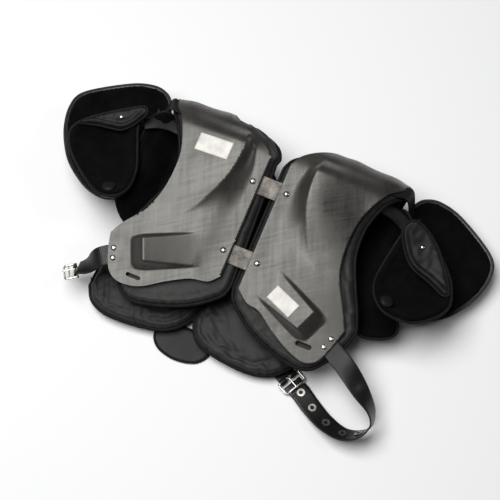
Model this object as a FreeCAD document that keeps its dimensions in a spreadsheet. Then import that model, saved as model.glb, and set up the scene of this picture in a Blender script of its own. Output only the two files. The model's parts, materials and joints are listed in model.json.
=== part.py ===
import FreeCAD, Part
import math
import os

# Hard-shell shoulder pads lying on their rear panels, front up.
# +X is the viewer's right, +Y points to the neck, +Z up. Millimetres.
# Shapes are drawn about the middle of the two front webbing straps. At the end every piece is moved
# along Y by centre_shift, so that the origin is the bottom centre of the whole object's box.

Vector = FreeCAD.Vector
Rotation = FreeCAD.Rotation
Placement = FreeCAD.Placement

SIZES = (
    ("shell_wall", 3.0, "thickness of the arch sheet"),
    ("strap_gap", 2.6, "room for straps between sheet and liner"),
    ("front_liner_thick", 18.0, "thickness of the front liner"),
    ("rear_liner_thick", 16.0, "thickness of the rear liner"),
    ("bend_radius", 50.0, "outer radius of the shoulder bend"),
    ("bend_centre_y", 90.0, "centre of the shoulder bend"),
    ("front_slope", 11.31, "slope of the front panel in degrees"),
    ("panel_length", 260.0, "untrimmed length of the panels"),
    ("arch_reach", 190.0, "untrimmed width of one arch"),
    ("cutter_height", 140.0, "height of the plan cutters"),
    ("half_gap", 13.0, "inner edge of a shell from the centre plane"),
    ("slot_radius", 2.5, "end radius of the lacing slots"),
    ("slot_length", 20.0, "overall length of the lacing slots"),
    ("slot_x", 115.5, "centre of the lacing slots"),
    ("slot_y", -118.5, "centre of the lacing slots"),
    ("armhole_pad_low", 26.0, "underside of the armhole pad"),
    ("armhole_pad_thick", 14.0, "thickness of the armhole pad"),
    ("epaulet_radius", 230.0, "radius of the epaulet's dish"),
    ("epaulet_low", 11.0, "lowest point of the right epaulet"),
    ("epaulet_wall", 2.5, "thickness of the epaulet's sheet"),
    ("epaulet_lining_thick", 4.0, "thickness of the epaulet's lining"),
    ("cup_radius", 150.0, "radius of the cup's dish"),
    ("cup_low", 45.0, "lowest point of the right cup"),
    ("left_flap_lift", 21.5, "height of the left epaulet and cup above the right ones"),
    ("cup_wall", 2.5, "thickness of the cup's sheet"),
    ("cup_pad_thick", 10.0, "thickness of the cup's pad"),
    ("layer_gap", 0.1, "gap between nested layers"),
    ("snap_radius", 7.0, "radius of the cup snap"),
    ("snap_height", 1.6, "height of the cup snap"),
    ("webbing_width", 25.4, "width of the webbing"),
    ("webbing_thick", 1.5, "thickness of the webbing"),
    ("webbing_length", 60.0, "length of one webbing strap"),
    ("webbing_y", 47.0, "distance of each webbing strap from the middle"),
    ("rivet_x", 23.0, "webbing rivets from the centre plane"),
    ("rivet_shank", 2.2, "radius of a rivet shank"),
    ("rivet_hole", 2.3, "radius of a rivet hole"),
    ("hole_cutter", 16.0, "length of the cutters for rivet holes"),
    ("rivet_head", 4.2, "radius of a rivet head"),
    ("rivet_dome", 2.0, "height of a rivet head"),
    ("rivet_tail", 3.6, "radius of a rivet's clenched end"),
    ("rivet_tail_thick", 0.4, "thickness of a rivet's clenched end"),
    ("belt_width", 25.4, "width of the belts"),
    ("belt_thick", 2.0, "thickness of the belts"),
    ("eyelet_bore", 2.6, "bore radius of an eyelet"),
    ("eyelet_barrel", 3.4, "barrel radius of an eyelet"),
    ("eyelet_flange", 5.2, "flange radius of an eyelet"),
    ("eyelet_flange_thick", 0.6, "flange thickness of an eyelet"),
    ("eyelet_hole", 3.6, "radius of the belt's holes"),
    ("buckle_width", 34.0, "outer width of a buckle frame"),
    ("buckle_length", 17.0, "length of a buckle frame from its bar"),
    ("buckle_wire", 3.0, "section of a buckle frame"),
    ("bar_radius", 1.6, "radius of a buckle's hinge bar"),
    ("bar_bore", 1.68, "bore radius of the parts that turn on the bar"),
    ("lug_radius", 3.7, "outer radius of the parts that turn on the bar"),
    ("lug_gap", 7.0, "room for the prong between the lugs"),
    ("prong_width", 3.2, "width of the prong"),
    ("prong_thick", 2.0, "thickness of the prong"),
    ("prong_length", 18.0, "length of the prong from the bar"),
    ("rear_buckle_height", 4.6, "height of the right buckle's bar"),
    ("side_buckle_height", 30.0, "height of the left buckle's bar"),
    ("label_length", 46.0, "length of the left label"),
    ("label_width", 23.0, "width of the left label"),
    ("small_label_length", 38.0, "length of the right label"),
    ("small_label_width", 20.0, "width of the right label"),
    ("label_thick", 0.3, "thickness of the labels"),
    ("rear_lean", 36.0, "sideways shift of the rear panels at their lower end"),
    ("rear_lean_top", 84.0, "level where that shift starts"),
    ("rear_lean_fall", 249.0, "distance over which that shift builds up"),
    ("flap_thick", 2.6, "thickness of the rear centre flap"),
    ("flap_low", 0.2, "underside of the rear centre flap"),
    ("flap_top_y", -138.0, "upper edge of the rear centre flap"),
    ("chape_reach", 42.0, "length of the strap that holds the right buckle"),
    ("rear_strap_length", 52.0, "length of the left rear strap"),
    ("strap_rivet_across", 6.5, "each rear strap rivet from the strap's middle"),
    ("epaulet_strap_width", 24.0, "width of an epaulet strap"),
    ("epaulet_strap_drop", 40.0, "height of an epaulet strap"),
    ("cup_strap_length", 46.0, "length of a cup strap"),
    ("cup_strap_width", 16.0, "width of a cup strap"),
    ("flexible_strap_thick", 2.0, "thickness of the epaulet and cup straps"),
    ("centre_shift", 31.5, "shift along Y that centres the box on the origin"),
)

doc = FreeCAD.newDocument("ShoulderPads")
sheet = doc.addObject("Spreadsheet::Sheet", "Sizes")
for row, (alias, value, meaning) in enumerate(SIZES, start=1):
    sheet.set(f"A{row}", meaning)
    sheet.set(f"B{row}", str(value))
    sheet.setAlias(f"B{row}", alias)
doc.recompute()

nodes = []


def size(alias):
    """Value of a named cell."""
    return float(getattr(sheet, alias))


def bind(thing, **sizes):
    """Bind properties of a document object to expressions over the sheet."""
    for name, formula in sizes.items():
        thing.setExpression(name, formula)
    return thing


def node(thing, label):
    """Register a finished sub-part under its node name."""
    thing.Label = label
    nodes.append(thing)
    return thing


def sketch(name, stretches):
    """Closed sketch of joined stretches: two points make a line, more a curve through them."""
    drawing = doc.addObject("Sketcher::SketchObject", name)
    edges = []
    for points in stretches:
        corners = [Vector(x, y, 0) for x, y in points]
        if len(corners) == 2:
            edges.append(Part.LineSegment(*corners))
        else:
            curve = Part.BSplineCurve()
            curve.interpolate(corners)
            edges.append(curve)
    if stretches[-1][-1] != stretches[0][0]:
        edges.append(Part.LineSegment(Vector(*stretches[-1][-1], 0), Vector(*stretches[0][0], 0)))
    drawing.addGeometry(edges)
    return drawing


def extrude(name, drawing, direction, formula, low=0.0):
    """Solid swept straight from a closed sketch, its length bound to a formula."""
    solid = doc.addObject("Part::Extrusion", name)
    solid.Base = drawing
    solid.DirMode = "Custom"
    solid.Dir = direction
    solid.Solid = True
    solid.Placement.Base = direction * low
    return bind(solid, LengthFwd=formula)


def plan(name, stretches, formula="Sizes.cutter_height", low=-1.0):
    """Upright prism over a plan outline."""
    return extrude(name, sketch(name + "_outline", stretches), Vector(0, 0, 1), formula, low)


def common(name, first, second):
    both = doc.addObject("Part::MultiCommon", name)
    both.Shapes = [first, second]
    return both


def fuse(name, parts):
    whole = doc.addObject("Part::MultiFuse", name)
    whole.Shapes = parts
    return whole


def cut(name, base, tool):
    result = doc.addObject("Part::Cut", name)
    result.Base = base
    result.Tool = tool
    return result


def group(name, parts):
    """Compound of separate solids, such as identical fasteners."""
    whole = doc.addObject("Part::Compound", name)
    whole.Links = parts
    return whole


def mirrored(name, source):
    """Mirror image in the centre plane."""
    image = doc.addObject("Part::Mirroring", name)
    image.Source = source
    image.Normal = Vector(1, 0, 0)
    return image


def cylinder(name, radius, height, place=Placement()):
    solid = doc.addObject("Part::Cylinder", name)
    solid.Placement = place
    return bind(solid, Radius=radius, Height=height)


def block(name, length, width, height, place=Placement()):
    solid = doc.addObject("Part::Box", name)
    solid.Placement = place
    return bind(solid, Length=length, Width=width, Height=height)


# ---- the front plane and the arch section ------------------------------------------------------

SLOPE = math.radians(size("front_slope"))
FRONT_TILT = Rotation(Vector(1, 0, 0), size("front_slope"))
BEND = Vector(0, size("bend_centre_y"), size("bend_radius"))
UP_FRONT = Vector(0, -math.sin(SLOPE), math.cos(SLOPE))
DOWN_FRONT = Vector(0, -math.cos(SLOPE), -math.sin(SLOPE))
SECTION_PLANE = Placement(Vector(), Rotation(Vector(1, 1, 1), 120))
LINER_DEPTH = size("shell_wall") + size("strap_gap")


def on_front(x, y, depth=0.0):
    """Point of the front panel at plan place (x, y), the given depth under its outer face."""
    tangent = BEND + UP_FRONT * (size("bend_radius") - depth)
    run = (tangent.y - y) / math.cos(SLOPE)
    return Vector(x, 0, 0) + tangent + DOWN_FRONT * run


def bend_point(radius, degrees):
    """Point of the shoulder bend, as (y, z), at an angle above the horizontal."""
    angle = math.radians(degrees)
    return BEND.y + radius * math.cos(angle), BEND.z + radius * math.sin(angle)


def arc(first, middle, last):
    """Sketch arc through three points."""
    edge = Part.Arc(first, middle, last).toShape()
    return edge.Curve.trim(*edge.ParameterRange)


def band(name, depth, thickness, front, rear, seam=1.0):
    """Arch band between two depths under the outer face, over the front, the rear or both.

    A rear band starts the seam's angle below the crown of the bend, in degrees."""
    start = 90 + size("front_slope") if front else -seam
    stop = -90.0 if rear else 0.0
    middle = (start + stop) / 2
    drawing = doc.addObject("Sketcher::SketchObject", name + "_section")
    ends = []
    edges = []
    for radius in (size("bend_radius") - depth, size("bend_radius") - depth - thickness):
        first, mid, last = (Vector(*bend_point(radius, a), 0) for a in (start, middle, stop))
        edges.append(arc(first, mid, last))
        if front:
            run = Vector(DOWN_FRONT.y, DOWN_FRONT.z, 0) * size("panel_length")
            edges.append(Part.LineSegment(first, first + run))
            first = first + run
        if rear:
            run = Vector(-size("panel_length"), 0, 0)
            edges.append(Part.LineSegment(last, last + run))
            last = last + run
        ends.append((first, last))
    edges.append(Part.LineSegment(ends[0][0], ends[1][0]))
    edges.append(Part.LineSegment(ends[0][1], ends[1][1]))
    drawing.addGeometry(edges)
    drawing.Placement = SECTION_PLANE
    return extrude(name, drawing, Vector(1, 0, 0), "Sizes.arch_reach", -5.0)


def flip(stretches):
    return [[(-x, y) for x, y in points] for points in stretches]


def shift(stretches, distance):
    return [[(x + distance, y) for x, y in points] for points in stretches]


def lean_at(y):
    """Sideways shift of the rear panels at a level below the shoulder."""
    return size("rear_lean") * max(0.0, size("rear_lean_top") - y) / size("rear_lean_fall")


def lean(stretches):
    """Slide an outline sideways in step with the distance below the shoulder."""
    return [[(x - lean_at(y), y) for x, y in points] for points in stretches]


# ---- arch shells -------------------------------------------------------------------------------

EDGE = size("half_gap")
SHELL_TOP = [
    [(165, 146), (76, 146)],
    [(76, 146), (45, 124), (22, 102), (EDGE, 84)],
]
RIGHT_FRONT_OUTLINE = [
    [(EDGE, 84), (EDGE, -84)],
    [(EDGE, -84), (30, -97), (48, -101), (72, -117), (98, -131), (122, -138), (138, -131), (147, -113),
     (156, -84)],
    [(156, -84), (143, -58), (125, -24), (119, 10), (122, 50), (139, 89), (158, 118), (165, 146)],
] + SHELL_TOP
# The left outline is drawn on the right side and mirrored.
LEFT_FRONT_OUTLINE = [
    [(EDGE, 84), (EDGE, -78)],
    [(EDGE, -78), (26, -90), (48, -95), (76, -110), (99, -125), (118, -131), (136, -130), (149, -120),
     (159, -99), (165, -78)],
    [(165, -78), (157, -63), (138, -38), (125, -9), (121, 24), (124, 53), (139, 89), (158, 118), (165, 146)],
] + SHELL_TOP
REAR_SHELL_OUTLINE = [
    [(EDGE, 84), (EDGE + 1, -112)],
    [(EDGE + 1, -112), (22, -132), (42, -147), (70, -153), (98, -153), (116, -143), (126, -124)],
    [(126, -124), (130, -95), (126, -40), (120, 10), (122, 50), (139, 89), (158, 118), (165, 146)],
] + SHELL_TOP
WEBBING_RIVETS = [(size("rivet_x"), size("webbing_y")), (size("rivet_x"), -size("webbing_y"))]
BELT_RIVETS = {"right": [(144.0, -99.0), (139.5, -111.5)], "left": [(153.0, -95.0), (149.0, -107.0)]}


def front_hole(name, x, y):
    """Cutter for a rivet hole square to the front panel."""
    place = Placement(on_front(x, y) - UP_FRONT * size("hole_cutter") / 2, FRONT_TILT)
    return cylinder(name, "Sizes.rivet_hole", "Sizes.hole_cutter", place)


def rear_hole(name, x, y):
    """Upright cutter for a rivet hole through the rear panel and whatever lies on it."""
    place = Placement(Vector(x, y, -size("shell_wall")), Rotation())
    return cylinder(name, "Sizes.rivet_hole", "Sizes.hole_cutter", place)


def slot_cutter(name):
    """Cutter for one lacing slot, upright through the front panel only."""
    low = size("bend_radius") - 10
    half = (size("slot_length") - 2 * size("slot_radius")) / 2
    x, y, radius = size("slot_x"), size("slot_y"), size("slot_radius")
    corner = Vector(x - half, y - radius, low)
    middle = block(name + "_middle", "Sizes.slot_length - 2 * Sizes.slot_radius",
                   "2 * Sizes.slot_radius", "40 mm", Placement(corner, Rotation()))
    ends = [cylinder(f"{name}_end{i}", "Sizes.slot_radius", "40 mm",
                     Placement(Vector(x + side * half, y, low), Rotation()))
            for i, side in enumerate((-1, 1))]
    return fuse(name, [middle] + ends)


def across_both(section):
    """Widen a band so that it spans both sides of the centre plane."""
    bind(section, LengthFwd="2 * Sizes.arch_reach")
    section.Placement.Base = Vector(-size("arch_reach"), 0, 0)
    return section


def strap_rivets(end, direction, distance):
    """Two rivet places across a strap, the given distance from its end."""
    middle = end + direction * distance
    across = Vector(-direction.y, direction.x, 0) * size("strap_rivet_across")
    return [((middle + across * k).x, (middle + across * k).y) for k in (-1, 1)]


BUCKLE_YAW = -27.0
REAR_BUCKLE = Vector(109.3, -148.7, size("rear_buckle_height"))
REAR_STRAP_YAW = -153.0
ON_REAR_PANEL = size("shell_wall") + size("layer_gap")
REAR_STRAP_CORNER = Vector(-132.0, -101.0, ON_REAR_PANEL)
chape_way = Rotation(Vector(0, 0, 1), BUCKLE_YAW).multVec(Vector(-1, 0, 0))
rear_strap_turn = Rotation(Vector(0, 0, 1), REAR_STRAP_YAW)
rear_strap_way = rear_strap_turn.multVec(Vector(1, 0, 0))
rear_strap_start = REAR_STRAP_CORNER + rear_strap_turn.multVec(Vector(0, size("belt_width") / 2, 0))
CHAPE_RIVETS = strap_rivets(REAR_BUCKLE, chape_way, 33.0)
LEFT_STRAP_RIVETS = strap_rivets(rear_strap_start, rear_strap_way, 16.0)
REAR_WEBBING_RIVETS = {
    side: [(k * size("rivet_x") - lean_at(y), y) for _, y in WEBBING_RIVETS]
    for side, k in (("right", 1), ("left", -1))
}

shell_band = band("shell_band", 0.0, size("shell_wall"), front=True, rear=False)


def front_panel(name, outline, belt_places):
    """Front panel and shoulder bend of one shell, with its slot and rivet holes."""
    blank = common(name + "_blank", shell_band, plan(name + "_plan", outline, low=size("bend_radius")))
    holes = [slot_cutter(name + "_slot")]
    for i, (x, y) in enumerate(WEBBING_RIVETS + belt_places):
        holes.append(front_hole(f"{name}_hole{i}", x, y))
    return cut(name, blank, fuse(name + "_holes", holes))


right_panel = front_panel("right_front", RIGHT_FRONT_OUTLINE, BELT_RIVETS["right"])
left_panel = mirrored("left_front", front_panel("left_front_source", LEFT_FRONT_OUTLINE, BELT_RIVETS["left"]))
rear_band = across_both(band("rear_shell_band", 0.0, size("shell_wall"), front=False, rear=True, seam=0.0))
for side, panel, outline, strap_places in (
        ("right", right_panel, REAR_SHELL_OUTLINE, CHAPE_RIVETS),
        ("left", left_panel, flip(REAR_SHELL_OUTLINE), LEFT_STRAP_RIVETS)):
    trimmer = plan(f"{side}_rear_shell_plan", lean(outline), "Sizes.bend_radius + 1")
    rear_blank = common(f"{side}_rear_shell_blank", rear_band, trimmer)
    rear_holes = [rear_hole(f"{side}_rear_hole{i}", x, y)
                  for i, (x, y) in enumerate(REAR_WEBBING_RIVETS[side] + strap_places)]
    rear_panel = cut(f"{side}_rear_shell", rear_blank, fuse(f"{side}_rear_shell_holes", rear_holes))
    node(fuse(f"{side}_shell_whole", [panel, rear_panel]), f"{side}_arch_shell")

# ---- liners ------------------------------------------------------------------------------------


def front_liner_outline(lower_reach):
    """Plan of the front liner; lower_reach is how far out its lower corner comes."""
    return [
        [(6, 80), (6, -84)],
        [(6, -84), (14, -101), (49, -126), (98, -143), (lower_reach - 36, -141), (lower_reach - 9, -106),
         (lower_reach, -79)],
        [(lower_reach, -79), (lower_reach - 9, -55), (145, -24), (132, 10), (131, 46), (141, 78),
         (157, 110), (163, 146)],
        [(163, 146), (60, 146)],
        [(60, 146), (36, 124), (14, 100), (6, 80)],
    ]


LEFT_LINER_SHIFT = 8.0
front_band = band("front_liner_band", LINER_DEPTH, size("front_liner_thick"), front=True, rear=False)
right_front = plan("right_front_plan", front_liner_outline(169.0))
left_liner_outline = shift(front_liner_outline(166.0), -LEFT_LINER_SHIFT)
left_front = mirrored("left_front_plan", plan("left_front_mirror", left_liner_outline))
left_front_band = mirrored("left_front_band", front_band)
node(common("right_front_liner", front_band, right_front), "right_front_liner")
node(common("left_front_liner", left_front_band, left_front), "left_front_liner")

REAR_LINER_OUTLINE = [
    [(1, 80), (1, -128)],
    [(1, -128), (14, -147), (34, -158), (70, -164), (103, -164), (126, -155), (140, -138)],
    [(140, -138), (144, -100), (138, -40), (134, 20), (138, 70), (152, 110), (157, 146)],
    [(157, 146), (60, 146)],
    [(60, 146), (36, 124), (14, 100), (1, 80)],
]
for side, outline in (("right", REAR_LINER_OUTLINE), ("left", flip(REAR_LINER_OUTLINE))):
    section = across_both(band(f"{side}_rear_band", LINER_DEPTH, size("rear_liner_thick"),
                               front=False, rear=True))
    trimmed = plan(f"{side}_rear_plan", lean(outline))
    node(common(f"{side}_rear_liner", section, trimmed), f"{side}_rear_liner")

# ---- armhole pads ------------------------------------------------------------------------------

ARMHOLE_INNER_EDGE = [
    [(124, -44), (114, -15), (113, 20), (118, 55), (132, 84)],
    [(132, 84), (150, 80)],
]
RIGHT_ARMHOLE_OUTLINE = [
    [(166, 60), (166, -28)],
    [(166, -28), (173, -38), (190, -40), (210, -43), (212, -55), (198, -66), (178, -72), (158, -64),
     (138, -54), (124, -44)],
] + ARMHOLE_INNER_EDGE
LEFT_ARMHOLE_OUTLINE = [
    [(166, 60), (166, -20)],
    [(166, -20), (158, -46), (140, -55), (124, -44)],
] + ARMHOLE_INNER_EDGE
for side, outline in (("right", RIGHT_ARMHOLE_OUTLINE), ("left", flip(LEFT_ARMHOLE_OUTLINE))):
    pad = plan(f"{side}_armhole_plan", outline, "Sizes.armhole_pad_thick", size("armhole_pad_low"))
    node(pad, f"{side}_armhole_pad")

# ---- dished flaps: epaulets and cups -----------------------------------------------------------


def dish(name, centre, radius, low, inner, outer, outline):
    """Layer of a bowl: between depths inner and outer inside a sphere, trimmed by an outline."""
    middle = Placement(Vector(*centre, size(low) + size(radius)), Rotation())
    hull = doc.addObject("Part::Sphere", name + "_hull")
    core = doc.addObject("Part::Sphere", name + "_core")
    for ball, depth in ((hull, outer), (core, inner)):
        ball.Placement = middle
        bind(ball, Radius=f"Sizes.{radius} - ({depth})")
    layer = cut(name + "_layer", hull, core)
    return common(name, layer, plan(name + "_plan", outline, f"Sizes.{radius} * 0.5"))


def in_bowl(centre, radius, low, depth, x, y):
    """Placement on a bowl's inner face at (x, y), its Z axis square to the face."""
    ball = Vector(*centre, size(low) + size(radius))
    reach = size(radius) - depth
    drop = math.sqrt(reach ** 2 - (x - ball.x) ** 2 - (y - ball.y) ** 2)
    point = Vector(x, y, ball.z - drop)
    return Placement(point, Rotation(Vector(0, 0, 1), ball - point))


EPAULET_CENTRE = (225.0, 50.0)
EPAULET_OUTLINE = [
    [(170, 112), (176, 127), (186, 136), (204, 140), (232, 134), (268, 114), (293, 92), (298, 69),
     (292, 42), (278, 16), (260, -5), (229, -26), (205, -33), (187, -30), (168, -14)],
    [(168, -14), (169, 60)],
    [(169, 60), (170, 112)],
]
LINING_OUTLINE = [
    [(173, 112), (179, 126), (188, 133), (204, 137), (231, 131), (266, 111), (290, 91), (295, 69),
     (289, 43), (275, 18), (258, -2), (228, -23), (205, -30), (188, -27), (171, -12)],
    [(171, -12), (172, 60)],
    [(172, 60), (173, 112)],
]
CUP_CENTRE = (215.0, 20.0)
CUP_OUTLINE = [
    [(176, 70), (170, 40), (166, 10), (166, -10), (173, -28), (188, -42), (210, -45), (230, -41),
     (253, -22), (263, -4), (262, 10), (255, 30), (241, 49)],
    [(241, 49), (219, 68), (196, 84), (183, 80), (176, 70)],
]
epaulet = dish("epaulet", EPAULET_CENTRE, "epaulet_radius", "epaulet_low", "Sizes.epaulet_wall", "0",
               EPAULET_OUTLINE)
lining = dish("epaulet_lining", EPAULET_CENTRE, "epaulet_radius", "epaulet_low",
              "Sizes.epaulet_wall + Sizes.layer_gap + Sizes.epaulet_lining_thick",
              "Sizes.epaulet_wall + Sizes.layer_gap", LINING_OUTLINE)
cup_shell = dish("cup_shell", CUP_CENTRE, "cup_radius", "cup_low", "Sizes.cup_wall", "0", CUP_OUTLINE)
cup_pad = dish("cup_pad", CUP_CENTRE, "cup_radius", "cup_low",
               "Sizes.cup_wall + Sizes.layer_gap + Sizes.cup_pad_thick",
               "Sizes.cup_wall + Sizes.layer_gap", CUP_OUTLINE)
PAD_DEPTH = size("cup_wall") + size("layer_gap") + size("cup_pad_thick")
CUP_RIVET = (206.0, 57.0)
SNAP = (189.0, -29.0)
rivet_seat = in_bowl(CUP_CENTRE, "cup_radius", "cup_low", PAD_DEPTH, *CUP_RIVET)
shank_depth = PAD_DEPTH + size("layer_gap")
rivet_bore = cylinder("cup_rivet_bore", "Sizes.rivet_hole", "30 mm",
                      rivet_seat.multiply(Placement(Vector(0, 0, -20), Rotation())))
cup_shell_holed = cut("cup_shell_holed", cup_shell, rivet_bore)
cup_pad_holed = cut("cup_pad_holed", cup_pad, rivet_bore)
snap_seat = in_bowl(CUP_CENTRE, "cup_radius", "cup_low", PAD_DEPTH + 0.25, *SNAP)
snap = cylinder("cup_snap", "Sizes.snap_radius", "Sizes.snap_height", snap_seat)


def lifted(name, source):
    """Mirror image of a part of the right epaulet or cup, raised to the left one's height."""
    image = mirrored(name + "_image", source)
    whole = group(name, [image])
    whole.Placement.Base = Vector(0, 0, size("left_flap_lift"))
    return whole


for name, thing in (("epaulet", epaulet), ("epaulet_lining", lining), ("cup_shell", cup_shell_holed),
                    ("cup_pad", cup_pad_holed), ("cup_snap", snap)):
    node(lifted(f"left_{name}_lifted", thing), f"left_{name}")
    node(group(f"right_{name}_set", [thing]), f"right_{name}")

# ---- rivets ------------------------------------------------------------------------------------


def rivet(name, seat, shank, tail=False):
    """Domed rivet whose head sits on the seat's plane and whose shank runs down from it."""
    dome = doc.addObject("Part::Sphere", name + "_dome")
    ball = (size("rivet_head") ** 2 + size("rivet_dome") ** 2) / (2 * size("rivet_dome"))
    bind(dome, Radius="(Sizes.rivet_head ^ 2 + Sizes.rivet_dome ^ 2) / (2 * Sizes.rivet_dome)")
    dome.Placement = Placement(Vector(0, 0, size("rivet_dome") - ball), Rotation())
    above = cylinder(name + "_above", "Sizes.rivet_head + 1", "Sizes.rivet_dome + 1")
    head = common(name + "_head", dome, above)
    pin = cylinder(name + "_pin", "Sizes.rivet_shank", f"{shank} mm",
                   Placement(Vector(0, 0, -shank), Rotation()))
    parts = [head, pin]
    if tail:
        parts.append(cylinder(name + "_tail", "Sizes.rivet_tail", "Sizes.rivet_tail_thick",
                              Placement(Vector(0, 0, -shank), Rotation())))
    whole = fuse(name, parts)
    whole.Placement = seat
    return whole


HEAD_LIFT = 0.05
front_shank = LINER_DEPTH - 0.2
webbing_rivets = []
for i, (x, y) in enumerate(WEBBING_RIVETS):
    seat = Placement(on_front(x, y, -HEAD_LIFT), FRONT_TILT)
    webbing_rivets.append(rivet(f"webbing_rivet{i}", seat, front_shank, tail=True))
rivets = group("right_webbing_rivets", webbing_rivets)
node(rivets, "right_webbing_rivets")
node(mirrored("left_webbing_rivets", rivets), "left_webbing_rivets")
for side, k in (("right", 1), ("left", -1)):
    members = []
    for i, (x, y) in enumerate(BELT_RIVETS[side]):
        seat = Placement(on_front(k * x, y, -HEAD_LIFT), FRONT_TILT)
        members.append(rivet(f"{side}_belt_rivet{i}", seat, front_shank))
    node(group(f"{side}_belt_rivets", members), f"{side}_belt_rivets")
HEAD_ABOVE_PAD = 0.5
cup_rivet_seat = rivet_seat.multiply(Placement(Vector(0, 0, HEAD_ABOVE_PAD), Rotation()))
cup_rivet = rivet("cup_rivet", cup_rivet_seat, shank_depth + 1.5)
node(lifted("left_cup_rivet_lifted", cup_rivet), "left_cup_rivet")
node(group("right_cup_rivet_set", [cup_rivet]), "right_cup_rivet")


def flat_rivet(name, x, y, thick):
    """Flat-headed rivet of the rear panel: head inside, end flush with the outer face."""
    low = size("layer_gap")
    pin = cylinder(name + "_pin", "Sizes.rivet_shank", f"{thick - low} mm",
                   Placement(Vector(x, y, low), Rotation()))
    head = cylinder(name + "_head", "Sizes.rivet_tail", "Sizes.rivet_tail_thick",
                    Placement(Vector(x, y, thick), Rotation()))
    return fuse(name, [pin, head])


STRAP_TOP = ON_REAR_PANEL + size("belt_thick") + HEAD_LIFT
WEBBING_TOP = ON_REAR_PANEL + size("webbing_thick") + HEAD_LIFT
for name, places, thick in (("right_rear_rivets", REAR_WEBBING_RIVETS["right"], WEBBING_TOP),
                            ("left_rear_rivets", REAR_WEBBING_RIVETS["left"], WEBBING_TOP),
                            ("right_chape_rivets", CHAPE_RIVETS, STRAP_TOP),
                            ("left_rear_strap_rivets", LEFT_STRAP_RIVETS, STRAP_TOP)):
    members = [flat_rivet(f"{name}{i}", x, y, thick) for i, (x, y) in enumerate(places)]
    node(group(name + "_set", members), name)

# ---- webbing -----------------------------------------------------------------------------------


def webbing(label, y, front):
    """One webbing strap under the sheet, with its two rivet holes."""
    body = doc.addObject("PartDesign::Body", label + "_body")
    drawing = body.newObject("Sketcher::SketchObject", label + "_shape")
    plane = [feature for feature in body.Origin.OriginFeatures if feature.Role == "XY_Plane"][0]
    drawing.AttachmentSupport = [(plane, "")]
    drawing.MapMode = "FlatFace"
    half_length = size("webbing_length") / 2
    half_width = size("webbing_width") / 2
    corners = [Vector(across * half_length, along * half_width, 0)
               for across, along in ((-1, -1), (1, -1), (1, 1), (-1, 1))]
    drawing.addGeometry([Part.LineSegment(corners[i], corners[(i + 1) % 4]) for i in range(4)])
    for side in (-1, 1):
        centre = Vector(side * size("rivet_x"), 0, 0)
        drawing.addGeometry(Part.Circle(centre, Vector(0, 0, 1), size("rivet_hole")))
    pad = body.newObject("PartDesign::Pad", label + "_pad")
    pad.Profile = drawing
    bind(pad, Length="Sizes.webbing_thick")
    if front:
        under_panel = UP_FRONT * (ON_REAR_PANEL + size("webbing_thick"))
        body.Placement = Placement(on_front(0, y) - under_panel, FRONT_TILT)
    else:
        body.Placement = Placement(Vector(-lean_at(y), y, ON_REAR_PANEL), Rotation())
    return node(body, label)


for level, y in (("upper", size("webbing_y")), ("lower", -size("webbing_y"))):
    webbing(f"{level}_front_webbing", y, True)
    webbing(f"{level}_rear_webbing", y, False)

# ---- belts -------------------------------------------------------------------------------------


def strap(flat, free):
    """Strap lofted through flat stations on the front panel's slope, then through free ones.

    A free station is (x, y, z, roll in degrees); roll 0 lies flat and 90 stands on edge."""
    points = flat + [Vector(*station[:3]) for station in free]
    rolls = [None] * len(flat) + [math.radians(station[3]) for station in free]
    frames = []
    for i, (point, roll) in enumerate(zip(points, rolls)):
        along = points[min(i + 1, len(points) - 1)] - points[max(i - 1, 0)]
        side = Vector(0, 0, 1).cross(along.normalize()).normalize()
        upper = along.cross(side)
        if roll is None:
            face = UP_FRONT
            width = UP_FRONT.cross(along).normalize()
        else:
            face = upper * math.cos(roll) + side * math.sin(roll)
            width = side * math.cos(roll) - upper * math.sin(roll)
        frames.append((point, width, face))
    wires = []
    for point, width, face in frames:
        across = width * (size("belt_width") / 2)
        deep = face * (size("belt_thick") / 2)
        wires.append(Part.makePolygon([point + across + deep, point - across + deep, point - across - deep,
                                       point + across - deep, point + across + deep]))
    flat_part = Part.makeLoft(wires[:len(flat)], True, True)
    free_part = Part.makeLoft(wires[len(flat) - 1:], True, False)
    return flat_part.fuse(free_part), frames


def front_strap(x, y):
    """Belt station flat in the gap under the front panel."""
    return on_front(x, y) - UP_FRONT * (size("shell_wall") + size("strap_gap") / 2)


under_bar = size("buckle_wire") / 2 + size("belt_thick") / 2 + 0.2
belt_end_height = size("rear_buckle_height") - under_bar


def from_buckle(distance):
    """Point along the right belt, measured from the buckle's bar."""
    yaw = math.radians(BUCKLE_YAW)
    return REAR_BUCKLE.x + distance * math.cos(yaw), REAR_BUCKLE.y + distance * math.sin(yaw)


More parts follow.
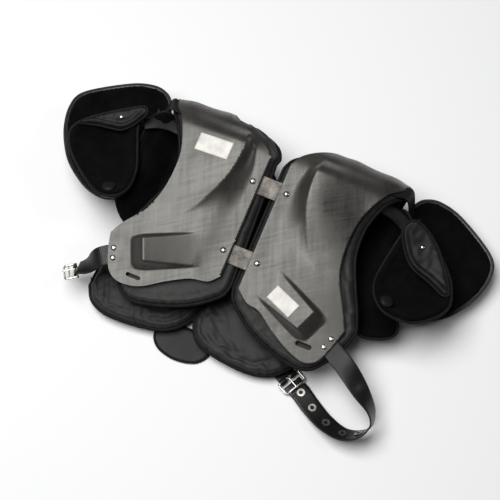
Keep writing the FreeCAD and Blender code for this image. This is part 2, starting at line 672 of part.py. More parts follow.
RIGHT_BELT_FLAT = [front_strap(122, -93), front_strap(141.7, -105), front_strap(157, -114),
                   front_strap(176, -125)]
RIGHT_BELT_FREE = [
    (202, -142, 46, 20), (221, -156, 38, 55), (228, -172, 30, 88), (218, -186, 23, 122),
    (199, -192, 17, 145), (175, -186, 11, 162), (152, -173.5, 6.0, 174),
    (*from_buckle(25), belt_end_height + 1.2, 180), (*from_buckle(18), belt_end_height + 0.2, 180),
    (*from_buckle(7), belt_end_height, 180),
]
EYELET_STATIONS = (7, 8, 9, 10, 11)
EYELET_LIFT = 0.7
belt_solid, belt_frames = strap(RIGHT_BELT_FLAT, RIGHT_BELT_FREE)
eyelets = []
hole_tools = []
for i in EYELET_STATIONS:
    point, width, face = belt_frames[i]
    seat = Placement(point, Rotation(Vector(0, 0, 1), face))
    half = size("belt_thick") / 2
    reach = half + EYELET_LIFT + size("eyelet_flange_thick")
    hole_tools.append(Part.makeCylinder(size("eyelet_hole"), 20, point - face * 10, face))
    barrel = cylinder(f"eyelet_barrel{i}", "Sizes.eyelet_barrel", f"{2 * reach} mm",
                      Placement(Vector(0, 0, -reach), Rotation()))
    flanges = [cylinder(f"eyelet_flange{i}_{n}", "Sizes.eyelet_flange", "Sizes.eyelet_flange_thick",
                        Placement(Vector(0, 0, z), Rotation()))
               for n, z in enumerate((-reach, reach - size("eyelet_flange_thick")))]
    bore = cylinder(f"eyelet_bore{i}", "Sizes.eyelet_bore", f"{4 * reach} mm",
                    Placement(Vector(0, 0, -2 * reach), Rotation()))
    ring = cut(f"eyelet{i}", fuse(f"eyelet_body{i}", [barrel] + flanges), bore)
    ring.Placement = seat
    eyelets.append(ring)
belt_bores = [Part.makeCylinder(size("rivet_hole"), 16, on_front(x, y) - UP_FRONT * 10, UP_FRONT)
              for x, y in BELT_RIVETS["right"]]
hole_tools += belt_bores
right_belt = doc.addObject("Part::Feature", "right_belt")
right_belt.Shape = belt_solid.cut(Part.makeCompound(hole_tools))
node(right_belt, "right_belt")
node(group("eyelets", eyelets), "right_belt_eyelets")

# The left belt is drawn on the right side and mirrored.
SIDE_BUCKLE = Vector(192.5, -131.0, size("side_buckle_height"))
SIDE_YAW = -36.0
SIDE_ROLL = 36.0
side_turn = Rotation(Vector(0, 0, 1), SIDE_YAW).multiply(Rotation(Vector(1, 0, 0), -SIDE_ROLL))
LEFT_BELT_FREE = []
for distance, up, across, roll in ((-18, 11.0, 0.0, 12.0), (-9, 3.6, 1.0, 26.0), (-0.8, 1.5, 1.1, SIDE_ROLL)):
    spot = SIDE_BUCKLE + Rotation(Vector(0, 0, 1), SIDE_YAW).multVec(Vector(distance, across, up))
    LEFT_BELT_FREE.append((spot.x, spot.y, spot.z, roll))
left_flat = [front_strap(131, -87), front_strap(151, -101), front_strap(166, -111.5)]
side_solid, _ = strap(left_flat, LEFT_BELT_FREE)
left_bores = [Part.makeCylinder(size("rivet_hole"), 16, on_front(x, y) - UP_FRONT * 10, UP_FRONT)
              for x, y in BELT_RIVETS["left"]]


def lugs(name, window_length):
    """Rings that turn on a buckle's bar, and the tools that open them; the bar is along Y."""
    half = size("belt_width") / 2
    ring = cylinder(name + "_ring", "Sizes.lug_radius", "Sizes.belt_width",
                    Placement(Vector(0, half, 0), Rotation(Vector(1, 0, 0), 90)))
    bore = cylinder(name + "_bore", "Sizes.bar_bore", "Sizes.belt_width * 2",
                    Placement(Vector(0, 2 * half, 0), Rotation(Vector(1, 0, 0), 90)))
    window = block(name + "_window", f"{window_length} mm", "Sizes.lug_gap", "20 mm",
                   Placement(Vector(-window_length / 2, -size("lug_gap") / 2, -10), Rotation()))
    return ring, fuse(name + "_tools", [bore, window])


ring, tools = lugs("left_lug", 12.0)
ring_place = Placement(SIDE_BUCKLE, side_turn)
doc.recompute()
loop_shape = ring.Shape.copy()
loop_shape.Placement = ring_place.multiply(ring.Placement)
tool_shape = tools.Shape.copy()
tool_shape.Placement = ring_place
left_belt_source = doc.addObject("Part::Feature", "left_belt_source")
left_belt_source.Shape = side_solid.fuse(loop_shape).cut(tool_shape).cut(Part.makeCompound(left_bores))
node(mirrored("left_belt", left_belt_source), "left_belt")

# ---- buckles -----------------------------------------------------------------------------------


def buckle(prefix, place, double_bar, image):
    """Frame and prong, drawn with the bar along Y at the origin and the frame towards +X."""
    width = size("buckle_width")
    wire = size("buckle_wire")
    outer = block(prefix + "_outer", "Sizes.buckle_length", "Sizes.buckle_width", "Sizes.buckle_wire",
                  Placement(Vector(0, -width / 2, -wire / 2), Rotation()))
    inner = block(prefix + "_inner", "Sizes.buckle_length - Sizes.buckle_wire + 1",
                  "Sizes.buckle_width - 2 * Sizes.buckle_wire", "Sizes.buckle_wire * 2",
                  Placement(Vector(-1, wire - width / 2, -wire), Rotation()))
    bar = cylinder(prefix + "_bar", "Sizes.bar_radius", "Sizes.buckle_width - Sizes.buckle_wire",
                   Placement(Vector(0, (width - wire) / 2, 0), Rotation(Vector(1, 0, 0), 90)))
    parts = [cut(prefix + "_rim", outer, inner), bar]
    if double_bar:
        middle = size("buckle_length") * 0.62
        parts.append(cylinder(prefix + "_middle", "Sizes.bar_radius - 0.3",
                              "Sizes.buckle_width - Sizes.buckle_wire",
                              Placement(Vector(middle, (width - wire) / 2, 0),
                                        Rotation(Vector(1, 0, 0), 90))))
    frame = fuse(prefix + "_frame", parts)
    eye = cylinder(prefix + "_eye", "Sizes.lug_radius", "Sizes.prong_width",
                   Placement(Vector(0, size("prong_width") / 2, 0), Rotation(Vector(1, 0, 0), 90)))
    height = size("lug_radius") - size("prong_thick")
    finger = block(prefix + "_finger", "Sizes.prong_length", "Sizes.prong_width", "Sizes.prong_thick",
                   Placement(Vector(0, -size("prong_width") / 2, height), Rotation()))
    bore = cylinder(prefix + "_eye_bore", "Sizes.bar_bore", "Sizes.prong_width * 3",
                    Placement(Vector(0, size("prong_width") * 1.5, 0), Rotation(Vector(1, 0, 0), 90)))
    prong = cut(prefix + "_prong", fuse(prefix + "_prong_blank", [eye, finger]), bore)
    for thing, label in ((frame, "buckle_frame"), (prong, "buckle_prong")):
        thing.Placement = place
        if image:
            thing = mirrored(f"{prefix}_{label}_image", thing)
        node(thing, f"{prefix}_{label}")


rear_place = Placement(REAR_BUCKLE, Rotation(Vector(0, 0, 1), BUCKLE_YAW))
buckle("right", rear_place, False, False)
buckle("left", ring_place, True, True)

chape_low = ON_REAR_PANEL - size("rear_buckle_height")
chape_ring, chape_tools = lugs("chape", 14.0)
chape_strap = block("chape_strap", "Sizes.chape_reach", "Sizes.belt_width", "Sizes.belt_thick",
                    Placement(Vector(-size("chape_reach"), -size("belt_width") / 2, chape_low), Rotation()))
chape = cut("chape_blank", fuse("chape_whole", [chape_ring, chape_strap]), chape_tools)
chape.Placement = rear_place
chape_bores = [rear_hole(f"chape_bore{i}", x, y) for i, (x, y) in enumerate(CHAPE_RIVETS)]
node(cut("chape", chape, group("chape_bores", chape_bores)), "right_chape")

rear_strap = block("left_rear_strap_blank", "Sizes.rear_strap_length", "Sizes.belt_width", "Sizes.belt_thick",
                   Placement(REAR_STRAP_CORNER, rear_strap_turn))
strap_bores = [rear_hole(f"left_strap_bore{i}", x, y) for i, (x, y) in enumerate(LEFT_STRAP_RIVETS)]
node(cut("left_rear_strap", rear_strap, group("left_strap_bores", strap_bores)), "left_rear_strap")

# ---- flexible shoulder straps, labels and the rear flap ----------------------------------------

epaulet_strap = block("epaulet_strap", "Sizes.flexible_strap_thick", "Sizes.epaulet_strap_width",
                      "Sizes.epaulet_strap_drop", Placement(Vector(167, 104, 32), Rotation()))
cup_strap = block("cup_strap", "Sizes.cup_strap_length", "Sizes.cup_strap_width",
                  "Sizes.flexible_strap_thick", Placement(Vector(134, 84, 72), Rotation(Vector(0, 1, 0), 10)))
for name, thing in (("epaulet_strap", epaulet_strap), ("cup_strap", cup_strap)):
    node(thing, f"right_{name}")
    node(mirrored(f"left_{name}", thing), f"left_{name}")


def label(name, x, y, length, width, turn):
    """Blank label on the outer face of the front panel; length and width name cells of the sheet."""
    plate = block(name, f"Sizes.{length}", f"Sizes.{width}", "Sizes.label_thick")
    half = Vector(size(length) / 2, size(width) / 2, 0)
    spin = FRONT_TILT.multiply(Rotation(Vector(0, 0, 1), turn))
    plate.Placement = Placement(on_front(x, y, -HEAD_LIFT) - spin.multVec(half), spin)
    return node(plate, name)


label("left_label", -85, 69, "label_length", "label_width", 0)
label("right_label", 72, -79, "small_label_length", "small_label_width", -22.5)

FLAP_TOP = size("flap_top_y")
FLAP_OUTLINE = [
    [(-8, FLAP_TOP), (-54, FLAP_TOP)],
    [(-54, FLAP_TOP), (-66, -149), (-70, -162), (-60, -175), (-42, -181), (-24, -181), (-6, -175),
     (4, -162), (2, -149), (-8, FLAP_TOP)],
]
flap = plan("rear_centre_flap", FLAP_OUTLINE, "Sizes.flap_thick", size("flap_low"))
node(flap, "rear_centre_flap")

# ---- check, place and write --------------------------------------------------------------------

doc.recompute()
for thing in nodes:
    follows = thing.TypeId == "Part::Mirroring" and thing.Source in nodes
    if not follows:
        thing.Placement = Placement(Vector(0, size("centre_shift"), 0), Rotation()).multiply(thing.Placement)
doc.recompute()
for thing in doc.Objects:
    if {"Invalid", "Error"} & set(thing.State):
        raise RuntimeError(f"{thing.Name} ({thing.Label}) failed: {thing.State}")
for thing in nodes:
    if thing.Shape.isNull() or not thing.Shape.isValid() or not thing.Shape.Solids:
        raise RuntimeError(f"{thing.Label} has no valid solid")
os.makedirs("parts", exist_ok=True)
whole = FreeCAD.BoundBox()
for thing in nodes:
    thing.Shape.exportStep(f"parts/{thing.Label}.step")
    whole.add(thing.Shape.BoundBox)
print(f"{len(nodes)} nodes, box {whole}")
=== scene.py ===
"""Hard-shell shoulder pads lying front up: the looks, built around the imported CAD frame."""

import json
import math

import bmesh
import bpy
import numpy as np
from mathutils import Matrix, Vector, geometry

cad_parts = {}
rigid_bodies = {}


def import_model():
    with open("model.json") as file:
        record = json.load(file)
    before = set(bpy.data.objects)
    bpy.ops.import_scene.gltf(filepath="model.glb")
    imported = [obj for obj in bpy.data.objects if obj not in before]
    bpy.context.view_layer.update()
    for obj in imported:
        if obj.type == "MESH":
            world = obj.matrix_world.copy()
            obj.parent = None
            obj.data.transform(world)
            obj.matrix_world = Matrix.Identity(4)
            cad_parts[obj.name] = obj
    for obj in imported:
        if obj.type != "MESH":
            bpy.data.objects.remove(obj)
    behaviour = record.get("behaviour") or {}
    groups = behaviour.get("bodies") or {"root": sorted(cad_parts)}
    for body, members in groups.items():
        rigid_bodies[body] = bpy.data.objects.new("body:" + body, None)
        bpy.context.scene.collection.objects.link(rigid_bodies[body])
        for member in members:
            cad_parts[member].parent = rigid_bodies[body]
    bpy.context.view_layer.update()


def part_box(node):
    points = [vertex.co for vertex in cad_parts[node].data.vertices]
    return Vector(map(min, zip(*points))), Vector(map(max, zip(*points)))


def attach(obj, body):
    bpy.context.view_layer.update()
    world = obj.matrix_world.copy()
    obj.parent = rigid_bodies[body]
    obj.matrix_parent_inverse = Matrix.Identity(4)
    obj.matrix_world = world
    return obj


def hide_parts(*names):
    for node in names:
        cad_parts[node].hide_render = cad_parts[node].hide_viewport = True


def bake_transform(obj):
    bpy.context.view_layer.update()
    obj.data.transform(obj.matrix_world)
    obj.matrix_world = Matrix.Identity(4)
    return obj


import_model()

# Shapes are drawn in millimetres about the middle of the two front webbing straps, on the viewer's
# right half; side -1 mirrors them. make_mesh turns millimetres into the row's metres.
MM = 0.001
SIDES = (("right", 1), ("left", -1))

# ---- the arch: a sloping front, a round shoulder bend and a flat rear --------------------------

SHELL_LOW, SHELL_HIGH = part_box("right_arch_shell")
BEND_Y = 90.0
BEND_R = (SHELL_HIGH.z - SHELL_LOW.z) / 2 / MM
ORIGIN_Y = SHELL_HIGH.y - (BEND_Y + BEND_R) * MM
SLOPE = math.radians(11.31)
CROWN_Y = BEND_Y + BEND_R
BEND_START_Y = BEND_Y - BEND_R * math.sin(SLOPE)
BEND_LENGTH = BEND_R * (math.pi + SLOPE)
CROWN_S = BEND_R * (math.pi / 2 + SLOPE)
WALL = 2.8
UP_FRONT = np.array([0.0, -math.sin(SLOPE), math.cos(SLOPE)])


def ramp(t):
    """Smooth step from 0 to 1."""
    t = np.clip(t, 0, 1)
    return t * t * (3 - 2 * t)


def droop(x, s):
    """How far the shoulder bend falls away towards its outer end."""
    over = np.clip((x - 96) / 70, 0, 1.2)
    on_bend = ramp((s + 20) / 60) * ramp((BEND_LENGTH - s) / 60)
    return -7.0 * over ** 2 * on_bend


def arch(x, s, lift=0.0):
    """Point of the arch at run s along its outer face, lifted off that face."""
    x, s, lift = (np.asarray(a, float) for a in np.broadcast_arrays(x, s, lift))
    radius = BEND_R + lift + droop(x, s)
    angle = math.pi / 2 + SLOPE - np.clip(s, 0, BEND_LENGTH) / BEND_R
    before = np.clip(-s, 0, None)
    after = np.clip(s - BEND_LENGTH, 0, None)
    y = BEND_Y + radius * np.cos(angle) - before * math.cos(SLOPE) - after
    z = BEND_R + radius * np.sin(angle) - before * math.sin(SLOPE)
    return np.stack([x, y, z], -1)


def front_run(y):
    """Run along the outer face at plan depth y on the front side."""
    y = np.asarray(y, float)
    turned = math.pi / 2 + SLOPE - np.arccos(np.clip((y - BEND_Y) / BEND_R, -1, 1))
    return np.where(y < BEND_START_Y, (y - BEND_START_Y) / math.cos(SLOPE), BEND_R * turned)


def rear_run(y):
    """Run along the outer face at plan depth y on the rear side."""
    y = np.asarray(y, float)
    turned = math.pi / 2 + SLOPE + np.arccos(np.clip((y - BEND_Y) / BEND_R, -1, 1))
    return np.where(y < BEND_Y, BEND_LENGTH + BEND_Y - y, BEND_R * turned)


def plan_y(s):
    """Plan depth of a run on the front side."""
    s = np.asarray(s, float)
    bend = BEND_Y + BEND_R * np.cos(math.pi / 2 + SLOPE - np.clip(s, 0, CROWN_S) / BEND_R)
    return np.where(s < 0, BEND_START_Y + s * math.cos(SLOPE), bend)


def on_front(x, y, lift=0.0):
    return arch(x, front_run(y), lift)


# ---- plane geometry ----------------------------------------------------------------------------


def curve(points, step=2.0, closed=False):
    """Catmull-Rom curve through points."""
    p = np.array(points, float)
    n = len(p)
    rows = []
    for i in range(n if closed else n - 1):
        if closed:
            a, b, c, d = (p[(i + k) % n] for k in (-1, 0, 1, 2))
        else:
            b, c = p[i], p[i + 1]
            a = p[i - 1] if i else 2 * b - c
            d = p[i + 2] if i + 2 < n else 2 * c - b
        count = max(1, int(round(np.linalg.norm((c - b)[:3]) / step)))
        t = np.arange(count)[:, None] / count
        rows.append(0.5 * (2 * b + (c - a) * t + (2 * a - 5 * b + 4 * c - d) * t ** 2
                           + (3 * b - a - 3 * c + d) * t ** 3))
    if not closed:
        rows.append(p[-1:])
    return np.concatenate(rows)


def outline(stretches, step=2.0):
    """Closed outline from stretches that share their end points."""
    rows = [curve(points, step) for points in stretches]
    if np.allclose(rows[-1][-1], rows[0][0]):
        rows[-1] = rows[-1][:-1]
    return np.concatenate([rows[0]] + [r[1:] for r in rows[1:]])


def even(path, step, closed=True):
    """The same path with evenly spaced points."""
    p = np.concatenate([path, path[:1]]) if closed else np.array(path)
    run = np.concatenate([[0], np.cumsum(np.linalg.norm(np.diff(p, axis=0), axis=1))])
    count = max(3, int(round(run[-1] / step)))
    at = np.linspace(0, run[-1], count + 1)
    if closed:
        at = at[:-1]
    return np.stack([np.interp(at, run, p[:, k]) for k in range(p.shape[1])], -1)


def distance(points, path, closed=True):
    """Distance of each point to a path, and +1 where it lies on the path's left side."""
    a = path if closed else path[:-1]
    b = np.roll(path, -1, 0) if closed else path[1:]
    best = np.full(len(points), 1e9)
    sign = np.ones(len(points))
    for start, end in zip(a, b):
        d = end - start
        t = np.clip(((points - start) @ d) / max(d @ d, 1e-9), 0, 1)
        off = points - start - t[:, None] * d
        far = np.hypot(off[:, 0], off[:, 1])
        cross = d[0] * (points[:, 1] - start[1]) - d[1] * (points[:, 0] - start[0])
        near = far < best - 1e-9
        best[near] = far[near]
        sign[near] = np.where(cross[near] >= 0, 1.0, -1.0)
    return best, sign


def inside(points, polygon):
    x, y = points[:, 0], points[:, 1]
    hit = np.zeros(len(points), bool)
    for (x0, y0), (x1, y1) in zip(polygon, np.roll(polygon, -1, 0)):
        if y0 != y1:
            hit ^= ((y0 > y) != (y1 > y)) & (x < (x1 - x0) * (y - y0) / (y1 - y0) + x0)
    return hit


def fill(polygon, spacing, holes=(), lines=()):
    """Triangles of a polygon with inner points on a staggered grid; lines stay as edges."""
    low, high = polygon.min(0), polygon.max(0)
    grid = []
    for i, y in enumerate(np.arange(low[1], high[1], spacing * 0.866)):
        xs = np.arange(low[0] + (i % 2) * spacing / 2, high[0], spacing)
        grid.append(np.stack([xs, np.full(len(xs), y)], -1))
    grid = np.concatenate(grid)
    keep = inside(grid, polygon)
    for hole in holes:
        keep &= ~inside(grid, hole)
    grid = grid[keep]
    keep = np.ones(len(grid), bool)
    for ring in [polygon] + list(holes):
        keep &= distance(grid, ring)[0] > spacing * 0.55
    for line in lines:
        keep &= distance(grid, line, closed=False)[0] > spacing * 0.45
    points, edges = [], []
    for path, closed in [(ring, True) for ring in [polygon] + list(holes)] + [(line, False) for line in lines]:
        start, n = len(points), len(path)
        points += [tuple(p) for p in path]
        edges += [(start + i, start + (i + 1) % n) for i in range(n if closed else n - 1)]
    points += [tuple(p) for p in grid[keep]]
    made = geometry.delaunay_2d_cdt([Vector(p) for p in points], edges, [], 0, 1e-4)
    verts = np.array([tuple(v) for v in made[0]])
    tris = np.array([f for f in made[2] if len(f) == 3])
    middle = verts[tris].mean(1)
    good = inside(middle, polygon)
    for hole in holes:
        good &= ~inside(middle, hole)
    tris = tris[good]
    used = np.unique(tris)
    index = np.full(len(verts), -1)
    index[used] = np.arange(len(used))
    verts, tris = verts[used], index[tris]
    a, b, c = (verts[tris[:, k]] for k in range(3))
    turn = (b - a)[:, 0] * (c - a)[:, 1] - (b - a)[:, 1] * (c - a)[:, 0]
    tris[turn < 0] = tris[turn < 0][:, ::-1]
    return verts, tris


def rim_edges(tris):
    """Directed edges that belong to one triangle only."""
    seen = {(int(t[i]), int(t[(i + 1) % 3])) for t in tris for i in range(3)}
    return sorted((a, b) for a, b in seen if (b, a) not in seen)


# ---- meshes and objects ------------------------------------------------------------------------

pieces = {}
SIMULATE = True


def make_mesh(name, verts, faces, side=1, uvs=None, slots=None):
    """Smooth-shaded object from millimetre points. slots gives each face's material slot."""
    verts = np.array(verts, float) * [side * MM, MM, MM] + [0, ORIGIN_Y, 0]
    faces = [tuple(int(i) for i in f) for f in faces]
    if side < 0:
        faces = [f[::-1] for f in faces]
    mesh = bpy.data.meshes.new(name)
    mesh.from_pydata([tuple(v) for v in verts], [], faces)
    if uvs is not None:
        layer = mesh.uv_layers.new(name="UVMap")
        loops = np.zeros(len(mesh.loops), int)
        mesh.loops.foreach_get("vertex_index", loops)
        layer.data.foreach_set("uv", np.array(uvs, np.float32)[loops].ravel())
    if slots is not None:
        mesh.polygons.foreach_set("material_index", np.array(slots, np.int32))
    obj = bpy.data.objects.new(name, mesh)
    bpy.context.scene.collection.objects.link(obj)
    pieces[name] = obj
    smooth(obj)
    return obj


def smooth(obj):
    obj.data.polygons.foreach_set("use_smooth", [True] * len(obj.data.polygons))
    obj.data.update()


def applied(obj):
    """The object with its modifiers applied."""
    depsgraph = bpy.context.evaluated_depsgraph_get()
    mesh = bpy.data.meshes.new_from_object(obj.evaluated_get(depsgraph))
    old = obj.data
    obj.modifiers.clear()
    obj.data = mesh
    bpy.data.meshes.remove(old)
    smooth(obj)
    return obj


def subdivided(obj, levels=1):
    modifier = obj.modifiers.new("subdivision", "SUBSURF")
    modifier.levels = modifier.render_levels = levels
    return applied(obj)


def bevelled(obj, width, angle=38.0, segments=2):
    modifier = obj.modifiers.new("edges", "BEVEL")
    modifier.width = width * MM
    modifier.segments = segments
    modifier.limit_method = "ANGLE"
    modifier.angle_limit = math.radians(angle)
    return applied(obj)


def welded(obj):
    """The object with coinciding points merged and its faces turned outwards."""
    bm = bmesh.new()
    bm.from_mesh(obj.data)
    bmesh.ops.remove_doubles(bm, verts=bm.verts, dist=1e-6)
    bmesh.ops.dissolve_degenerate(bm, edges=bm.edges, dist=1e-7)
    bmesh.ops.recalc_face_normals(bm, faces=bm.faces)
    bm.to_mesh(obj.data)
    bm.free()
    smooth(obj)
    return obj


def sheet(name, tris, upper, lower, side=1):
    """Closed sheet between two layers of points over the same triangles."""
    n = len(upper)
    faces = [tuple(t) for t in tris] + [tuple(t[::-1] + n) for t in tris]
    rim = [(b, a, a + n, b + n) for a, b in rim_edges(tris)]
    slots = [0] * len(tris) + [1] * len(tris) + [2] * len(rim)
    return make_mesh(name, np.concatenate([upper, lower]), faces + rim, side, slots=slots)


def inflated(obj, hold, caps, pressure=3.0, growth=0.03, frames=14):
    """Cloth simulation run on the spot: air swells the cushion while its held points stay.

    hold is each point's pin weight and caps the farthest each point may move, in millimetres."""
    group = obj.vertex_groups.new(name="held")
    for i, weight in enumerate(hold):
        group.add([i], float(weight), "REPLACE")
    modifier = obj.modifiers.new("cloth", "CLOTH")
    cloth = modifier.settings
    cloth.quality = 4
    cloth.mass = 0.2
    cloth.tension_stiffness = cloth.compression_stiffness = 12.0
    cloth.shear_stiffness = 4.0
    cloth.bending_stiffness = 0.15
    cloth.use_pressure = True
    cloth.uniform_pressure_force = pressure
    cloth.shrink_min = -growth
    cloth.vertex_group_mass = "held"
    cloth.effector_weights.gravity = 0.0
    modifier.collision_settings.use_collision = False
    scene = bpy.context.scene
    for frame_number in range(1, frames + 1):
        scene.frame_set(frame_number)
    count = len(obj.data.vertices)
    start, end = np.zeros(count * 3), np.zeros(count * 3)
    obj.data.vertices.foreach_get("co", start)
    obj.evaluated_get(bpy.context.evaluated_depsgraph_get()).data.vertices.foreach_get("co", end)
    move = np.nan_to_num((end - start).reshape(-1, 3))
    length = np.linalg.norm(move, axis=1, keepdims=True)
    limit = np.array(caps)[:, None] * MM
    move *= limit / np.maximum(length + limit, 1e-9)
    obj.modifiers.clear()
    obj.vertex_groups.clear()
    obj.data.vertices.foreach_set("co", (start.reshape(-1, 3) + move).ravel())
    obj.data.update()
    scene.frame_set(1)
    return obj


def pillow(name, tris, upper, lower, side=1, held=None, caps=(4.0, 4.0)):
    """Closed cushion: two layers that share their rim points. Its lower faces use slot 1.

    held is the pin weight of each outline point for the cloth simulation, None for no simulation;
    caps limit the simulation's moves on the upper and the lower layer."""
    n = len(upper)
    rim = {a for a, _ in rim_edges(tris)}
    index = np.arange(n)
    inner = [i for i in range(n) if i not in rim]
    index[inner] = n + np.arange(len(inner))
    faces = [tuple(t) for t in tris] + [tuple(index[t[::-1]]) for t in tris]
    slots = [0] * len(tris) + [1] * len(tris)
    obj = make_mesh(name, np.concatenate([upper, lower[inner]]), faces, side, slots=slots)
    if held is not None and SIMULATE:
        weights = np.concatenate([held, held[inner]])
        limits = np.concatenate([np.full(n, caps[0]), np.full(len(inner), caps[1])])
        inflated(obj, weights, limits)
    return obj


def tube(name, path, radius, closed=False, side=1, around=12):
    """Round cord along a path; radius may vary along it."""
    path = np.array(path, float)
    n = len(path)
    radius = np.broadcast_to(np.asarray(radius, float), (n,))
    tangent = np.roll(path, -1, 0) - np.roll(path, 1, 0) if closed else np.gradient(path, axis=0)
    tangent /= np.maximum(np.linalg.norm(tangent, axis=1, keepdims=True), 1e-9)
    start = np.cross(tangent[0], [0, 0, 1] if abs(tangent[0][2]) < 0.9 else [1, 0, 0])
    normals = [start / np.linalg.norm(start)]
    for t in tangent[1:]:
        v = normals[-1] - (normals[-1] @ t) * t
        normals.append(v / max(np.linalg.norm(v), 1e-9))
    normals = np.array(normals)
    other = np.cross(tangent, normals)
    twist = math.atan2(normals[-1] @ other[0], normals[-1] @ normals[0]) if closed else 0.0
    rings = []
    for i in range(n):
        turn = np.arange(around) / around * 2 * math.pi - twist * i / n
        ring = np.cos(turn)[:, None] * normals[i] + np.sin(turn)[:, None] * other[i]
        rings.append(path[i] + ring * radius[i])
    faces = [(i * around + k, i * around + (k + 1) % around,
              (i + 1) % n * around + (k + 1) % around, (i + 1) % n * around + k)
             for i in range(n if closed else n - 1) for k in range(around)]
    if not closed:
        faces += [tuple(range(around))[::-1], tuple((n - 1) * around + k for k in range(around))]
    run = np.concatenate([[0], np.cumsum(np.linalg.norm(np.diff(path, axis=0), axis=1))]) * MM
    uvs = [(run[i], k / around) for i in range(n) for k in range(around)]
    return make_mesh(name, np.concatenate(rings), faces, side, uvs)


def lathe(profile, around=28):
    """Points and faces of a profile (radius, height) turned about Z, from axis to axis or closed."""
    angles = np.arange(around) / around * 2 * math.pi
    verts = np.concatenate([[(r * math.cos(t), r * math.sin(t), z) for t in angles] for r, z in profile])
    n = len(profile)
    faces = [(i * around + k, i * around + (k + 1) % around,
              (i + 1) % n * around + (k + 1) % around, (i + 1) % n * around + k)
             for i in range(n if profile[0][0] > 1e-6 else n - 1) for k in range(around)]
    return verts, faces


def seated(verts, point, normal, spin=0.0):
    """Points drawn about the origin with Z up, moved to a seat and its normal."""
    turn = Vector((0, 0, 1)).rotation_difference(Vector(normal)).to_matrix() @ Matrix.Rotation(spin, 3, "Z")
    return np.array(verts) @ np.array(turn).T + np.array(point)


def joined(name, parts):
    """One object from several, keeping their points and slots."""
    bm = bmesh.new()
    for part in parts:
        bm.from_mesh(part.data)
        pieces.pop(part.name, None)
    mesh = bpy.data.meshes.new(name)
    bm.to_mesh(mesh)
    bm.free()
    for part in parts:
        bpy.data.objects.remove(part)
    obj = bpy.data.objects.new(name, mesh)
    bpy.context.scene.collection.objects.link(obj)
    pieces[name] = obj
    smooth(obj)
    return obj


def strap_section(width, thick, crown):
    """Cross-section of a strap as (across, up) points, going round once."""
    half, deep, corner = width / 2, thick / 2, min(thick / 2, 0.9)
    across = np.linspace(corner - half, half - corner, 9)
    arched = crown * (1 - (across / half) ** 2)
    top = np.stack([across, deep + arched], -1)
    bottom = np.stack([across, arched - deep], -1)[::-1]
    turn = np.array([0.9, 0.0, -0.9])
    edge = np.stack([half - corner + corner * np.cos(turn), deep * np.sin(turn)], -1)
    return np.concatenate([top, edge, bottom, (edge * [-1, 1])[::-1]])


def ribbon(name, stations, width, thick, side=1, step=2.0, crown=0.0, taper=0.0):
    """Flat strap through stations (x, y, z, roll in degrees); roll 0 lies flat, 90 stands on edge.

    The last taper millimetres round off to a tip. Returns the object, its path and its face normals."""
    rows = curve(stations, step)
    path, roll = rows[:, :3], np.radians(rows[:, 3])
    tangent = np.gradient(path, axis=0)
    tangent /= np.linalg.norm(tangent, axis=1, keepdims=True)
    side_way = np.cross([0.0, 0.0, 1.0], tangent)
    side_way /= np.linalg.norm(side_way, axis=1, keepdims=True)
    upper = np.cross(tangent, side_way)
    face = upper * np.cos(roll)[:, None] + side_way * np.sin(roll)[:, None]
    across = side_way * np.cos(roll)[:, None] - upper * np.sin(roll)[:, None]
    run = np.concatenate([[0], np.cumsum(np.linalg.norm(np.diff(path, axis=0), axis=1))])
    left = run[-1] - run
    narrow = np.ones(len(path))
    if taper:
        narrow = np.sqrt(np.clip(1 - (1 - np.clip(left / taper, 0, 1)) ** 2, 0.03, 1))
    section = strap_section(width, thick, crown)
    n, m = len(path), len(section)
    verts = np.concatenate([path[i] + section[:, :1] * narrow[i] * across[i] + section[:, 1:] * face[i]
                            for i in range(n)])
    faces = [(i * m + k, (i + 1) * m + k, (i + 1) * m + (k + 1) % m, i * m + (k + 1) % m)
             for i in range(n - 1) for k in range(m)]
    faces += [tuple(range(m)), tuple((n - 1) * m + k for k in range(m))[::-1]]
    uvs = [(run[i] * MM, section[k][0] * MM) for i in range(n) for k in range(m)]
    return welded(make_mesh(name, verts, faces, side, uvs)), path, face

# ---- outlines ----------------------------------------------------------------------------------

EDGE = 13.0
TOP_CURVE = [(76, 146), (45, 124), (22, 102), (EDGE, 84)]
FRONT_SHELL = {
    1: [
        [(EDGE, 84), (EDGE, -84)],
        [(EDGE, -84), (30, -97), (48, -101), (72, -117), (98, -131), (122, -138), (138, -131), (147, -113),
         (156, -84)],
        [(156, -84), (143, -58), (125, -24), (119, 10), (122, 50), (139, 89), (158, 118), (165, 146)],
        [(165, 146), (76, 146)], TOP_CURVE,
    ],
    -1: [
        [(EDGE, 84), (EDGE, -78)],
        [(EDGE, -78), (26, -90), (48, -95), (76, -110), (99, -125), (118, -131), (136, -130), (149, -120),
         (159, -99), (165, -78)],
        [(165, -78), (157, -63), (138, -38), (125, -9), (121, 24), (124, 53), (139, 89), (158, 118), (165, 146)],
        [(165, 146), (92, 146)],
        [(92, 146), (76, 126), (58, 113), (40, 103), (25, 95), (EDGE, 84)],
    ],
}
REAR_SHELL = [
    [(EDGE, 84), (EDGE + 1, -112)],
    [(EDGE + 1, -112), (22, -132), (42, -147), (70, -153), (98, -153), (116, -143), (126, -124)],
    [(126, -124), (130, -95), (126, -40), (120, 10), (122, 50), (139, 89), (158, 118), (165, 146)],
    [(165, 146), (76, 146)], TOP_CURVE,
]
LINER_TOP = {
    1: [[(163, 146), (60, 146)], [(60, 146), (36, 124), (14, 100), (6, 80)]],
    -1: [[(163, 146), (58, 146)], [(58, 146), (34, 129), (13, 111), (4, 92), (6, 80)]],
}
